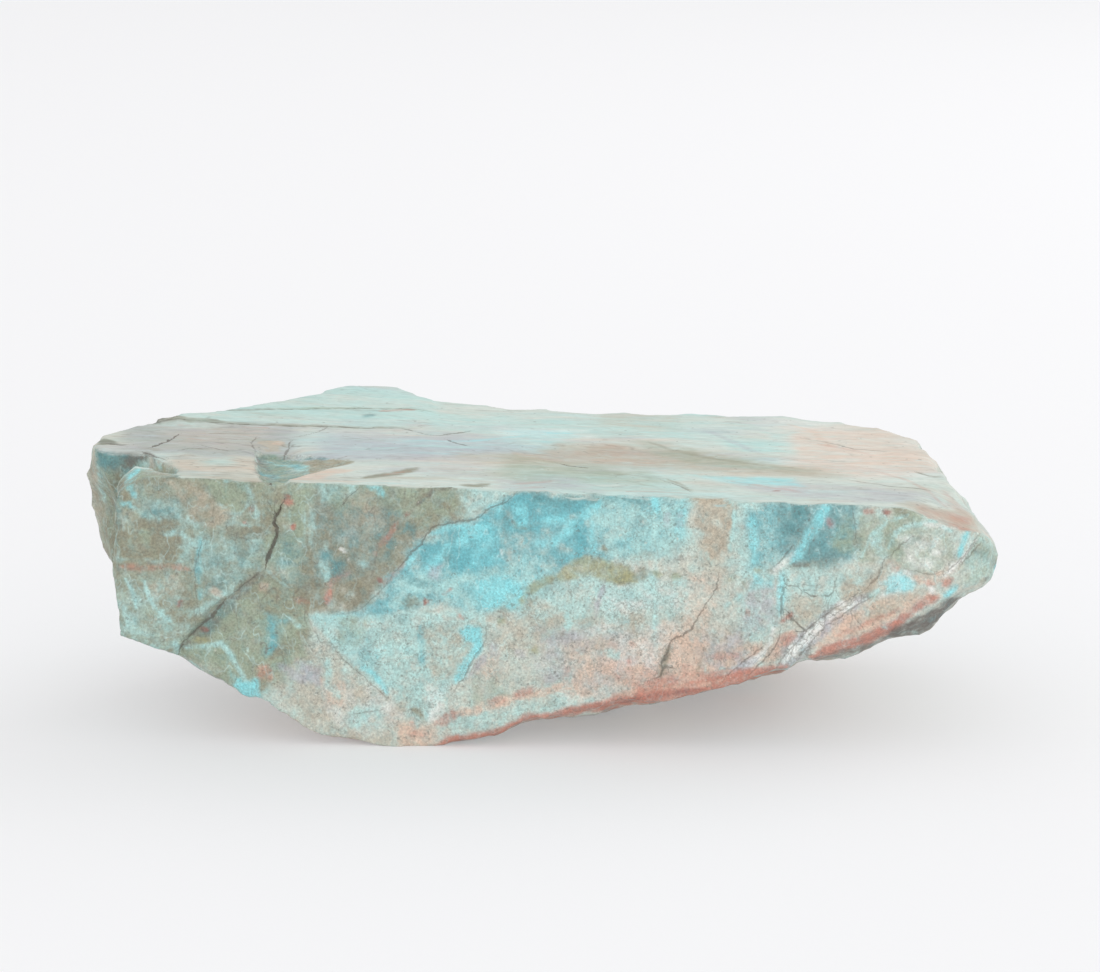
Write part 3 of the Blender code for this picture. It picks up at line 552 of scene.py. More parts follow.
# Streaks: mineral, amount, width in millimetres and path.
frontStreaks = [
    # left block
    ("tan", 0.60, 2.0, [(-84, 62.8), (-80, 62.4)]),
    ("ochre", 0.45, 1.4, [(-82.6, 62.8), (-79.4, 62.6)]),
    ("green", 0.60, 2.0, [(-86.2, 62.6), (-86.6, 60.6)]),
    ("sky", 0.62, 1.5, [(-86.6, 62.2), (-88.2, 61), (-88.9, 59.6), (-88.9, 58.2), (-87.6, 56)]),
    ("aqua", 0.55, 0.7, [(-90.4, 60), (-88.6, 62.3), (-85.6, 63.4), (-80, 63)]),
    ("brown", 0.60, 0.7, [(-82.5, 64), (-80, 63.8), (-78, 63.2)]),
    ("sky", 0.75, 1.3, [(-90.8, 54.9), (-89.4, 54.6), (-88.6, 54)]),
    ("aqua", 0.45, 1.0, [(-88.4, 53.8), (-85, 51.6)]),
    ("brown", 0.55, 2.0, [(-90.6, 56.7), (-88.6, 56.2)]),
    ("teal", 0.45, 1.5, [(-79, 61.5), (-74, 61.3)]),
    ("teal", 0.40, 1.4, [(-91.7, 59), (-91.5, 55), (-91.4, 49)]),
    ("teal", 0.45, 1.5, [(-86, 52), (-82, 52.5), (-79, 54)]),
    ("rust", 0.35, 1.3, [(-91.5, 40.3), (-85, 40.2), (-80, 40.6), (-76, 40)]),
    ("aqua", 0.80, 0.9, [(-90.5, 38), (-89, 35.5), (-88.2, 33), (-88, 31)]),
    ("aqua", 0.80, 0.9, [(-86, 37.6), (-85.2, 34), (-83.7, 31), (-80, 28)]),
    ("aqua", 0.60, 1.2, [(-91, 32), (-90, 27), (-86, 25)]),
    ("aqua", 0.50, 1.0, [(-81, 48), (-78.5, 48.5), (-76, 47)]),
    ("green", 0.80, 3.0, [(-86, 48.5), (-85.5, 45.5)]),
    ("aqua", 0.45, 1.2, [(-62.8, 59), (-61.5, 55), (-61, 51)]),
    ("turquoise", 0.50, 1.2, [(-73.8, 47), (-74, 40), (-74, 33)]),
    ("aqua", 0.45, 1.5, [(-71, 34), (-68, 34.5), (-66, 36.5)]),
    ("aqua", 0.40, 1.4, [(-76, 29), (-72, 32), (-69, 34)]),
    ("red", 0.70, 1.0, [(-78.3, 33), (-78.5, 31.5)]),
    ("peach", 0.45, 1.8, [(-71.5, 35.5), (-69.5, 34)]),
    ("aqua", 0.70, 1.4, [(-79.5, 23.5), (-79, 21.5)]),
    ("red", 0.70, 1.2, [(-54.6, 56), (-53.2, 57)]),
    ("rust", 0.80, 1.6, [(-54.5, 55.5), (-52.8, 55.2)]),
    ("rust", 0.75, 1.3, [(-53.2, 50.1), (-52.6, 49.8)]),
    ("red", 0.75, 0.9, [(-62.2, 53.8)]),
    ("rust", 0.50, 0.8, [(-63.7, 50.4)]),
    ("aqua", 0.45, 1.4, [(-48.3, 53), (-49, 48), (-48, 44), (-46, 38)]),
    ("aqua", 0.40, 1.2, [(-45.3, 47), (-45.5, 42), (-46, 38)]),
    ("aqua", 0.40, 1.6, [(-58.5, 43), (-56.5, 42), (-54.5, 40.5)]),
    # below the ledge: the first three streaks, dark and teal, are painted shade that falls under the ledge's
    # step
    ("dark", 0.45, 2.2, [(-60, 38.6), (-63.7, 36), (-67, 33.4)]),
    ("dark", 0.35, 3.0, [(-67, 33.4), (-70.4, 29.4), (-73.3, 26.4), (-77.5, 22.4)]),
    ("teal", 0.30, 3.0, [(-67, 32.4), (-70.4, 28.4), (-73.3, 25.4)]),
    ("ochre", 0.65, 1.8, [(-74.8, 24), (-72.5, 23.8)]),
    ("red", 0.65, 1.0, [(-73.8, 26.4), (-72.4, 26)]),
    ("aqua", 0.80, 1.2, [(-77.5, 22), (-74, 22.2), (-69.5, 23.3), (-67, 21), (-65.4, 17.8), (-64, 14.6)]),
    ("turquoise", 0.50, 1.6, [(-58.8, 28), (-57.6, 24), (-58.8, 21)]),
    ("rust", 0.55, 3.2, [(-61, 17.3), (-59, 15.5)]),
    ("brown", 0.60, 2.6, [(-58.5, 20), (-55.5, 21.8), (-52, 23.8), (-50.2, 26.5)]),
    ("peach", 0.50, 1.6, [(-60.5, 35.5), (-59, 36.5)]),
    ("rust", 0.45, 1.4, [(-53, 33.4), (-50, 32.6)]),
    ("rust", 0.36, 1.6, [(-44.8, 34.5), (-45, 37), (-43, 38.8), (-40.6, 40)]),
    ("aqua", 0.60, 1.2, [(-54, 29), (-52, 27)]),
    ("brown", 0.55, 1.6, [(-60, 16), (-60.5, 12.5)]),
    ("grey", 0.60, 2.2, [(-57, 18), (-52, 15.5), (-47.5, 17.5)]),
    ("aqua", 0.65, 2.0, [(-45.5, 20), (-45, 14), (-43, 11)]),
    # brown region
    ("rust", 0.34, 1.2, [(-30.2, 51), (-30.8, 49.5), (-32, 47.8), (-34.5, 45.8), (-34.9, 44)]),
    ("red", 0.65, 1.2, [(-27.4, 53.4), (-28, 52.8)]),
    ("red", 0.50, 1.3, [(-34.3, 38), (-33.6, 37.6)]),
    ("rust", 0.50, 1.4, [(-45.5, 33), (-44.8, 35.5)]),
    ("sky", 0.65, 1.8, [(-36.5, 59.2), (-34.3, 58.4), (-33.2, 57.2)]),
    ("teal", 0.55, 2.6, [(-27.6, 50.4), (-26.6, 48.4)]),
    ("teal", 0.35, 2.6, [(-40.6, 47.4), (-39.4, 46)]),
    ("teal", 0.35, 3.0, [(-45, 44), (-44.6, 40)]),
    ("white", 0.80, 0.6, [(-42.6, 45.3), (-41.6, 44.9)]),
    ("white", 0.60, 0.6, [(-41, 43.2), (-40.6, 42.4)]),
    ("aqua", 0.40, 1.4, [(-38.6, 42.5), (-36.4, 41.4)]),
    ("brown", 0.60, 1.8, [(-24, 57.4), (-20.5, 55.4), (-18.5, 54.4)]),
    ("brown", 0.40, 2.0, [(-16, 57.6), (-13.6, 57)]),
    ("dark", 0.40, 1.2, [(-25.5, 55.5), (-22, 58.2), (-18, 59)]),
    # turquoise band
    ("sky", 0.65, 1.2, [(-28.6, 41.2), (-26.5, 43.6), (-24.2, 46)]),
    ("sky", 0.65, 1.3, [(-22.6, 48.6), (-19, 50), (-14.5, 50.8)]),
    ("sky", 0.55, 2.8, [(-3.4, 50.5), (-2.4, 53), (-3.2, 56)]),
    ("sky", 0.62, 2.2, [(0.3, 46.5), (4, 47), (8, 49.6), (11, 53), (14.5, 56.5)]),
    ("sky", 0.50, 2.2, [(2.4, 52), (6.5, 52.4), (8.5, 51.4)]),
    ("turquoise", 0.85, 2.2, [(10.8, 51.5), (10.4, 47), (10, 43.4)]),
    ("sky", 0.45, 1.4, [(12.7, 52), (12.7, 46), (12.9, 43.6)]),
    ("teal", 0.60, 1.6, [(-19, 45), (-18.6, 42.5)]),
    ("sky", 0.70, 3.0, [(-17, 46), (-14.6, 48.6), (-11, 50)]),
    ("sky", 0.55, 2.0, [(-24, 40.5), (-20, 44), (-18, 47)]),
    ("sky", 0.60, 1.6, [(-10, 54.6), (-7.5, 55.4), (-7.2, 52)]),
    ("teal", 0.35, 1.8, [(-6.3, 53), (-6, 48)]),
    ("teal", 0.40, 1.4, [(12, 57), (16, 56.4), (20, 57.2)]),
    ("teal", 0.40, 1.6, [(-30, 38.6), (-25, 37.2), (-21, 38.2)]),
    ("white", 0.60, 0.5, [(-7, 45.6), (-7.8, 43.6)]),
    ("brown", 0.60, 3.4, [(-29, 33), (-25.8, 33.2)]),
    ("red", 0.85, 1.4, [(-24.4, 33.2), (-23.8, 33.3)]),
    ("rust", 0.22, 1.0, [(-33, 36.6), (-30.6, 39.6), (-28.4, 42)]),
    ("brown", 0.55, 1.4, [(-27, 45.2), (-23.8, 49.2), (-20.6, 51.4)]),
    ("rust", 0.40, 0.9, [(-20, 35), (-18, 36.4)]),
    ("ochre", 0.55, 2.4, [(-2.9, 33.7), (-2.3, 33.6)]),
    ("ochre", 0.55, 1.9, [(-7.6, 28.8), (-7, 28.5)]),
    ("ochre", 0.60, 2.0, [(-0.6, 22.8), (0.9, 22.6)]),
    ("ochre", 0.45, 2.2, [(-1.8, 35.4), (0.8, 37.6), (4, 39.4)]),
    ("green", 0.50, 1.6, [(-1.6, 36.6), (0.8, 38), (3, 39)]),
    ("sky", 0.95, 3.4, [(-16, 26.6), (-13.4, 26.2), (-12.4, 24.8)]),
    ("sky", 0.85, 2.3, [(-12.4, 24.8), (-13, 22.6), (-14.4, 20.2), (-15.8, 17.6), (-17.2, 15)]),
    ("sky", 0.65, 1.4, [(-38, 17.6), (-36.6, 18), (-35, 15.8), (-33, 12)]),
    ("sky", 0.45, 1.3, [(-33.8, 22), (-34.6, 20.4)]),
    ("turquoise", 0.50, 1.4, [(-25, 27.5), (-24.6, 24), (-25, 18.6)]),
    ("teal", 0.35, 1.6, [(-30.5, 29.5), (-27, 28.6)]),
    ("aqua", 0.60, 1.0, [(-35.5, 29), (-37, 25)]),
    ("grey", 0.55, 2.0, [(-14.4, 16), (-11.2, 21)]),
    ("grey", 0.40, 2.4, [(-9.5, 24), (-8.5, 20.5)]),
    ("grey", 0.40, 2.0, [(-4, 22.4), (-2.4, 21)]),
    ("rust", 0.40, 1.0, [(-16.5, 30.4), (-15.6, 29.4)]),
    # lower middle
    ("rust", 0.55, 2.6, [(-21.5, 5.4), (-19, 6.8), (-16.5, 7.8)]),
    ("peach", 0.80, 1.8, [(-16.5, 8.2), (-12, 8.6)]),
    ("rust", 0.55, 1.6, [(-10.4, 10.4), (-6.6, 11)]),
    ("rust", 0.60, 1.8, [(-4.4, 11.6), (-0.8, 13.6)]),
    ("rust", 0.45, 1.5, [(-27.3, 6.6), (-26.6, 5.4)]),
    ("brown", 0.60, 1.2, [(-27, 8.6), (-25.4, 8), (-24, 5.8)]),
    ("rust", 0.35, 1.6, [(-28, 3.4), (-24, 3)]),
    ("rust", 0.35, 1.8, [(6.4, 16), (7.6, 18.6)]),
    ("peach", 0.50, 1.6, [(20.5, 18.4), (23.6, 18.6)]),
    ("rust", 0.30, 1.2, [(20.2, 20), (22.6, 21)]),
    ("rust", 0.30, 1.2, [(21, 24.2), (22.2, 24)]),
    ("brown", 0.35, 1.0, [(13.8, 22), (16.4, 24.6)]),
    ("aqua", 0.65, 2.4, [(16, 22.5), (18, 20.6)]),
    ("aqua", 0.50, 1.0, [(26, 37), (26.2, 31), (26.2, 24), (26.6, 20.5)]),
    ("grey", 0.60, 1.1, [(15.2, 37.3), (13.4, 33), (13.2, 30)]),
    ("grey", 0.60, 1.4, [(8.7, 27.2), (8.7, 25.4)]),
    ("aqua", 0.80, 1.5, [(7, 31.5), (7.6, 29), (7.2, 27)]),
    ("grey", 0.35, 1.4, [(5.5, 22), (6, 18)]),
    ("tan", 0.55, 0.8, [(21.5, 31), (21.6, 28), (22.4, 25.8)]),
    # centre right
    ("sky", 0.65, 1.6, [(25.8, 59), (26.4, 56), (27, 54)]),
    ("aqua", 0.70, 0.8, [(26.3, 54), (26, 49), (25.4, 44)]),
    ("sky", 0.40, 2.4, [(32.6, 56), (32.2, 52), (31.6, 48.4)]),
    ("grey", 0.40, 1.6, [(29.3, 54.6), (28.8, 51)]),
    ("grey", 0.35, 1.6, [(32, 54), (31.4, 51)]),
    ("teal", 0.30, 1.2, [(19.6, 57), (25, 56.6)]),
    ("dark", 0.60, 0.9, [(30.6, 43.9), (32.6, 43.9)]),
    ("brown", 0.50, 0.7, [(32.6, 43.9), (35.4, 43.7)]),
    ("brown", 0.45, 1.5, [(30, 24), (28.6, 20.6), (27.6, 17)]),
    ("dark", 0.40, 0.9, [(29.4, 22), (28.7, 20.4)]),
    ("brown", 0.60, 1.2, [(15, 46), (15.2, 45.2)]),
    ("brown", 0.55, 1.6, [(23.3, 41.2), (23.6, 38.8)]),
    ("ochre", 0.55, 1.2, [(25.6, 40.1), (27.4, 40)]),
    ("ochre", 0.55, 1.2, [(29.8, 39.4), (32.2, 39.6)]),
    ("ochre", 0.45, 1.0, [(41.6, 38.6), (43.6, 39.2)]),
    ("ochre", 0.45, 1.0, [(48, 40.8), (49.6, 41)]),
    ("green", 0.60, 1.8, [(9.6, 42.8), (12.6, 42.6)]),
    ("peach", 0.50, 2.2, [(36, 38.8), (37, 37.6)]),
    ("aqua", 0.70, 1.0, [(43.8, 54.6), (43.3, 50), (42.3, 45.6)]),
    ("sky", 0.55, 1.6, [(47.6, 53), (47.4, 48), (47.6, 43)]),
    ("aqua", 0.50, 1.2, [(42, 32.6), (45, 35), (47.6, 37.4)]),
    ("rust", 0.45, 1.0, [(46.4, 32.4), (47, 30.8)]),
    ("peach", 0.80, 2.2, [(32, 26), (34, 24)]),
    ("rust", 0.35, 2.2, [(32, 18.6), (35, 18)]),
    ("rust", 0.30, 1.4, [(39, 21.6), (45, 22)]),
    ("white", 0.50, 1.2, [(47, 19), (49.4, 22)]),
    ("grey", 0.55, 2.2, [(44.6, 17.4), (47.4, 20)]),
    ("rust", 0.40, 2.6, [(52.6, 22), (55.4, 25)]),
    ("peach", 0.55, 2.6, [(51, 21), (54, 25), (57, 27)]),
    ("white", 0.45, 1.2, [(51.7, 40.4), (54.5, 43), (57.8, 46)]),
    # right end
    ("sky", 0.68, 2.2, [(63.6, 57), (63, 53.5), (61.8, 51.6), (60, 49), (58.8, 46.4), (57.4, 44.4),
        (56.4, 43.2)]),
    ("teal", 0.60, 3.2, [(56.5, 54.5), (59.6, 53)]),
    ("sky", 0.45, 0.8, [(55.2, 56.6), (55.2, 55)]),
    ("grey", 0.45, 1.6, [(64, 53), (65.2, 51)]),
    ("red", 0.40, 1.2, [(63.8, 52.6), (65, 51.4)]),
    ("brown", 0.50, 2.0, [(70.8, 49.6), (70.4, 46.8)]),
    ("dark", 0.35, 1.2, [(56.6, 43), (60, 42.6)]),
    ("rust", 0.70, 1.2, [(71.8, 54.8), (73.8, 54.4)]),
    ("red", 0.80, 1.4, [(76, 54.6), (77.2, 54.5)]),
    ("brown", 0.50, 1.4, [(78.4, 55), (81.4, 54)]),
    ("rust", 0.50, 2.0, [(77.6, 43.8), (79, 41.8)]),
    ("rust", 0.55, 2.0, [(85.8, 54.4), (89.4, 53), (93, 51.4)]),
    ("aqua", 0.60, 0.8, [(77, 46.6), (78.4, 50), (82, 52), (87, 52.6), (91, 50.4)]),
    ("aqua", 0.60, 0.8, [(71.5, 44.6), (73.4, 49), (77, 52.6), (81, 54)]),
    ("rust", 0.35, 2.4, [(90.8, 41.6), (91.6, 44)]),
    ("peach", 0.60, 2.6, [(83, 40), (87, 39.4), (90, 41)]),
    ("white", 0.50, 0.8, [(84, 52.4), (87.5, 51.4), (92.5, 51)]),
    ("sky", 0.85, 1.4, [(94.3, 49.8), (93.2, 48), (92.7, 46.6), (92.4, 45)]),
    ("white", 0.80, 1.0, [(96.2, 48.4), (94.6, 46.4), (93, 44.4), (91.3, 42.7), (89.5, 40.2)]),
    ("rust", 0.60, 1.8, [(91.2, 39.6), (89, 38.2)]),
    ("rust", 0.40, 1.4, [(85.4, 38.6), (87.4, 37.8)]),
    ("sky", 0.80, 1.2, [(89.8, 35.6), (91.4, 36.8), (92.6, 38)]),
    ("white", 0.80, 1.5, [(86.4, 37.2), (87.2, 36.4)]),
    ("white", 0.60, 1.3, [(80.4, 41.6), (82, 40.8)]),
    ("dark", 0.60, 1.2, [(99.6, 43.4), (100.6, 42.6)]),
    ("dark", 0.55, 0.9, [(98.2, 39.6), (99, 40)]),
    ("teal", 0.35, 1.8, [(96, 45.6), (98, 45)]),
    ("sky", 0.50, 1.6, [(54.2, 41), (54, 36), (54, 31)]),
    ("aqua", 0.60, 1.4, [(75, 37), (73, 35.5)]),
    ("rust", 0.80, 0.9, [(54.2, 29.6), (55.4, 30.6), (56.4, 31.5)]),
    ("darkLines", 0.99, 5.0, [(53.6, 18.6), (57.2, 22.4), (61, 26.6), (65, 30.6), (69.3, 34), (73, 36)]),
    ("grey", 0.55, 4.4, [(54.4, 19.6), (57.2, 23), (60, 25.6), (62.8, 28.6), (67, 31.9), (72, 35.2)]),
    ("tan", 0.40, 2.4, [(66, 32.5), (69.3, 34.6), (73, 37)]),
    ("white", 0.85, 2.2, [(56.2, 22), (57.6, 23.8)]),
    ("white", 0.90, 1.8, [(58, 23.8), (59.8, 25.6), (60.6, 27)]),
    ("white", 0.75, 1.2, [(61, 25.8), (62.6, 27.6)]),
    ("white", 0.85, 1.8, [(61.8, 28), (63.6, 29.6)]),
    ("white", 0.75, 1.6, [(64.6, 30.4), (66.4, 31.8)]),
    ("white", 0.65, 1.0, [(67, 31.4), (69.4, 33.2), (71.4, 34.6)]),
    ("white", 0.60, 1.1, [(66.6, 33.2), (68.4, 34.4)]),
    ("dark", 0.45, 1.0, [(57.6, 21.8), (58.6, 22.9)]),
    ("dark", 0.45, 0.9, [(60.4, 28), (61.4, 29)]),
    ("dark", 0.40, 0.9, [(65, 32), (66, 32.9)]),
    ("rust", 0.45, 1.4, [(55.2, 24.2), (57.4, 26.6)]),
    ("white", 0.80, 1.2, [(54.6, 20.6), (55.8, 22.2), (56.8, 23.6)]),
    ("white", 0.70, 1.1, [(46.4, 18.6), (48.4, 20.8), (50.6, 22.8), (52, 25.6), (52.8, 28.4)]),
    ("grey", 0.50, 2.2, [(43, 16.8), (46, 19), (49, 21.4)]),
    ("rust", 0.50, 2.0, [(53.2, 23.6), (55.2, 26), (56.4, 27)]),
    ("tan", 0.65, 1.4, [(68, 35.6), (71, 36.8), (73.4, 37.8), (75.4, 41), (77, 44)]),
    ("aqua", 0.50, 1.2, [(65, 24.4), (68.5, 25), (71.6, 26)]),
    ("aqua", 0.45, 1.2, [(74, 27), (78, 29.2), (81, 31.4)]),
    ("aqua", 0.50, 2.0, [(75, 51), (74.6, 47), (76.4, 45)]),
    # red band along the bottom, and the dark crust under it
    ("rust", 0.90, 2.2, [(-22, 0), (-19, 1.7), (-15.2, 2.1), (-12.5, 2.6), (-9, 3.4), (-4.5, 4.9),
        (-1.8, 6.3), (3.2, 7.3), (7.8, 8.5), (16, 10.6)]),
    ("rust", 0.92, 3.8, [(13, 9.6), (20, 11.4), (26, 12.4), (30, 13.2), (34, 13.6), (38, 14.6), (44, 15.6),
        (50, 17.4), (55, 19.4)]),
    ("peach", 0.60, 1.0, [(18, 12.6), (26, 14.2), (34, 14.8), (42, 16)]),
    ("rust", 0.45, 2.6, [(22, 13.6), (27, 15), (33, 16), (38, 16.6), (46, 18)]),
    ("rust", 0.88, 2.6, [(60.6, 21.4), (63.8, 22.9), (67.4, 24.3), (71, 25.4), (73.4, 26.4), (77, 28.2),
        (80.6, 30)]),
    ("rust", 0.85, 1.8, [(79, 29.4), (83.4, 32.5), (86, 34.6), (88.4, 35.6)]),
    ("red", 0.22, 0.8, [(66, 23.2), (73.4, 26), (80.6, 29.4), (85, 33)]),
    ("red", 0.40, 0.9, [(18, 10.8), (28, 12.6), (38, 14.2)]),
    ("red", 0.45, 0.7, [(-19, 1.2), (-12.5, 2.0), (-6, 3.6)]),
    ("peach", 0.55, 1.6, [(62, 24.4), (68, 27), (75, 29.6), (81, 32.6), (86, 36)]),
    ("rust", 0.45, 1.0, [(66, 26.4), (74, 29.8), (80, 33)]),
    ("dark", 0.90, 4.0, [(77, 25.4), (83, 28), (88, 31), (93, 35)]),
    ("dark", 0.70, 1.8, [(60, 20.4), (66, 21.8), (73, 24.2), (78, 26.2)]),
]

# Dark lines on the front: width and depth in millimetres, then the path.
frontCracks = [
    (0.75, 0.9, [(-54.9, 55.4), (-56.8, 51.9), (-57.2, 50.4), (-56.4, 49.6), (-56.8, 47.3), (-57.9, 44.6),
        (-58.9, 42.3), (-59.1, 40.8)]),
    # the next two lines follow the slanting ledge: besides a shallow groove, their dark line is painted
    # shadow at the ledge's step
    (0.30, 0.5, [(-60, 39.6), (-63.7, 36.9), (-66.4, 35), (-69, 32.3)]),
    (0.55, 0.6, [(-68, 33.4), (-71.4, 29.2), (-73.3, 27.7), (-75.2, 25.8), (-77.5, 23.5), (-79.2, 20.8)]),
    (0.45, 0.35, [(40, 40.4), (39.6, 36.9), (37.8, 33.8), (36.3, 30.8), (35.5, 29.6), (34.8, 27.7),
        (32.5, 26.2), (30.2, 25), (29.2, 22.7), (28.6, 21.2), (27.8, 19.6), (28.4, 18.5), (27.8, 16.9),
        (25.8, 16.3)]),
    (0.35, 0.2, [(27.2, 19.2), (28.8, 19.2), (30.4, 18.8)]),
    (0.30, 0.0, [(-58.3, 55.6), (-57.6, 53.6)]),
    (0.25, 0.0, [(-67.2, 52.3), (-67.5, 50), (-67.4, 48.2), (-65, 47.4), (-62, 46)]),
    (0.25, 0.1, [(-73, 47.2), (-74, 44), (-74.6, 40.8), (-74.9, 36), (-74.4, 30.6), (-76, 28)]),
    (0.25, 0.0, [(-88, 44), (-85.5, 43), (-84, 43.6)]),
    (0.22, 0.2, [(-43.7, 31), (-41.4, 30.4), (-38.7, 31.5), (-36.8, 33.1), (-34.8, 34.6), (-32.5, 36.9),
        (-30.6, 40)]),
    (0.42, 0.2, [(-30.6, 40), (-28.5, 42.1), (-26.4, 44.6), (-24.8, 46.2), (-23.3, 48.8), (-21.4, 50.4),
        (-19.1, 50.8), (-16.4, 51.7), (-14.1, 51.8), (-11.8, 52.7), (-9.5, 54.6), (-5.6, 56.2),
        (-4.1, 57.7)]),
    (0.25, 0.1, [(-49.8, 29.6), (-47.5, 23.8), (-44.8, 23.4), (-42.5, 20.2), (-38.7, 16.8), (-36, 14),
        (-33.3, 11.3), (-30, 9.4)]),
    (0.30, 0.1, [(-10.8, 27.6), (-11, 24.6), (-12.6, 22), (-14.4, 18.6), (-15.8, 15.6), (-17.6, 13)]),
    (0.42, 0.15, [(54, 41), (54.8, 39), (54.5, 37), (54.1, 34.4), (54, 30.4)]),
    (0.40, 0.15, [(55.2, 37.6), (57.6, 37.4), (58.4, 36.4)]),
    (0.45, 0.15, [(59, 36.2), (60.6, 35.5), (61.6, 35.6)]),
    (0.28, 0.0, [(53.6, 40.4), (55.2, 40), (55.6, 38.6), (54.4, 38)]),
    (0.28, 0.0, [(57.2, 38.2), (59.4, 37.6), (61.8, 38)]),
    (0.40, 0.15, [(62.8, 35.9), (64.4, 35.5), (65.2, 36.6)]),
    (0.36, 0.1, [(65.4, 37.4), (65.6, 39)]),
    (0.50, 0.25, [(55.6, 31.8), (56.6, 30), (58.8, 28), (59.6, 27.4)]),
    (0.30, 0.2, [(53, 19), (55, 22), (57.6, 24.6), (59.4, 27), (61.8, 29.8), (64.4, 31.6), (67.4, 33.8),
        (70, 35.8), (72.6, 37.4)]),
    (0.30, 0.2, [(57, 20.4), (59, 22.8), (61, 25.2), (63, 27.8), (65.6, 29.8), (68, 31.4), (70.8, 33.4),
        (74, 35.6)]),
    (0.40, 0.1, [(47.6, 17.6), (50, 20.4), (52, 22.6), (53.6, 25), (54.2, 28)]),
    (0.35, 0.1, [(42, 16.4), (44.4, 19), (47.4, 21.4), (50.4, 24.4)]),
    (0.35, 0.1, [(73, 38), (75, 40.6), (76.4, 44.6)]),
    (0.35, 0.1, [(56.5, 47), (54.6, 44.6), (52.4, 42)]),
    (0.35, 0.1, [(96.6, 49.4), (95.2, 47.2), (93.8, 45.2), (91.8, 43.4), (89.6, 41.2)]),
    (0.35, 0.1, [(97, 47.6), (95, 45.4), (93, 43.2)]),
    (0.25, 0.0, [(69.5, 31.6), (71, 29.8), (72, 28)]),
    (0.30, 0.0, [(77, 44.6), (79.6, 47.4), (83, 49.6)]),
    (0.25, 0.0, [(81, 42), (86, 40.6), (89.6, 41.6)]),
    (0.30, 0.0, [(-42, 54.6), (-40.6, 56.6), (-38.2, 58.6)]),
    (0.25, 0.0, [(-40, 7.4), (-37, 7.8), (-33, 8.6)]),
    (0.25, 0.0, [(-27.5, 9), (-26, 6.6), (-23.6, 4.4)]),
    (0.25, 0.0, [(69, 57.6), (69.8, 52), (70.4, 47.6)]),
]

# What lies on the top, in millimetres of X and Y, in the same four forms.
topGround = {"aqua": 0.25, "white": 0.22, "tan": 0.10, "specks": 0.05, "paleLines": 0.50, "darkLines": 0.45}

# Long soft streaks lie between the ground of the top and its areas: mineral, amount and seed.
topClouds = [
    ("aqua", 0.30, 81), ("tan", 0.30, 82), ("grey", 0.35, 83), ("sky", 0.14, 84), ("peach", 0.28, 85)]

chipOutline = [
    (-63.9, -15.7), (-62.1, -14.2), (-59, -15.4), (-55.3, -15.9), (-50.9, -17.9), (-46.6, -20.7),
    (-41.2, -25.1), (-43.5, -29.8), (-45.8, -33.1), (-51.2, -38.8), (-53.7, -43.2), (-53.5, -48.8),
    (-58, -48.8), (-59.7, -42.8), (-61.4, -37.3), (-62.6, -27.3)]

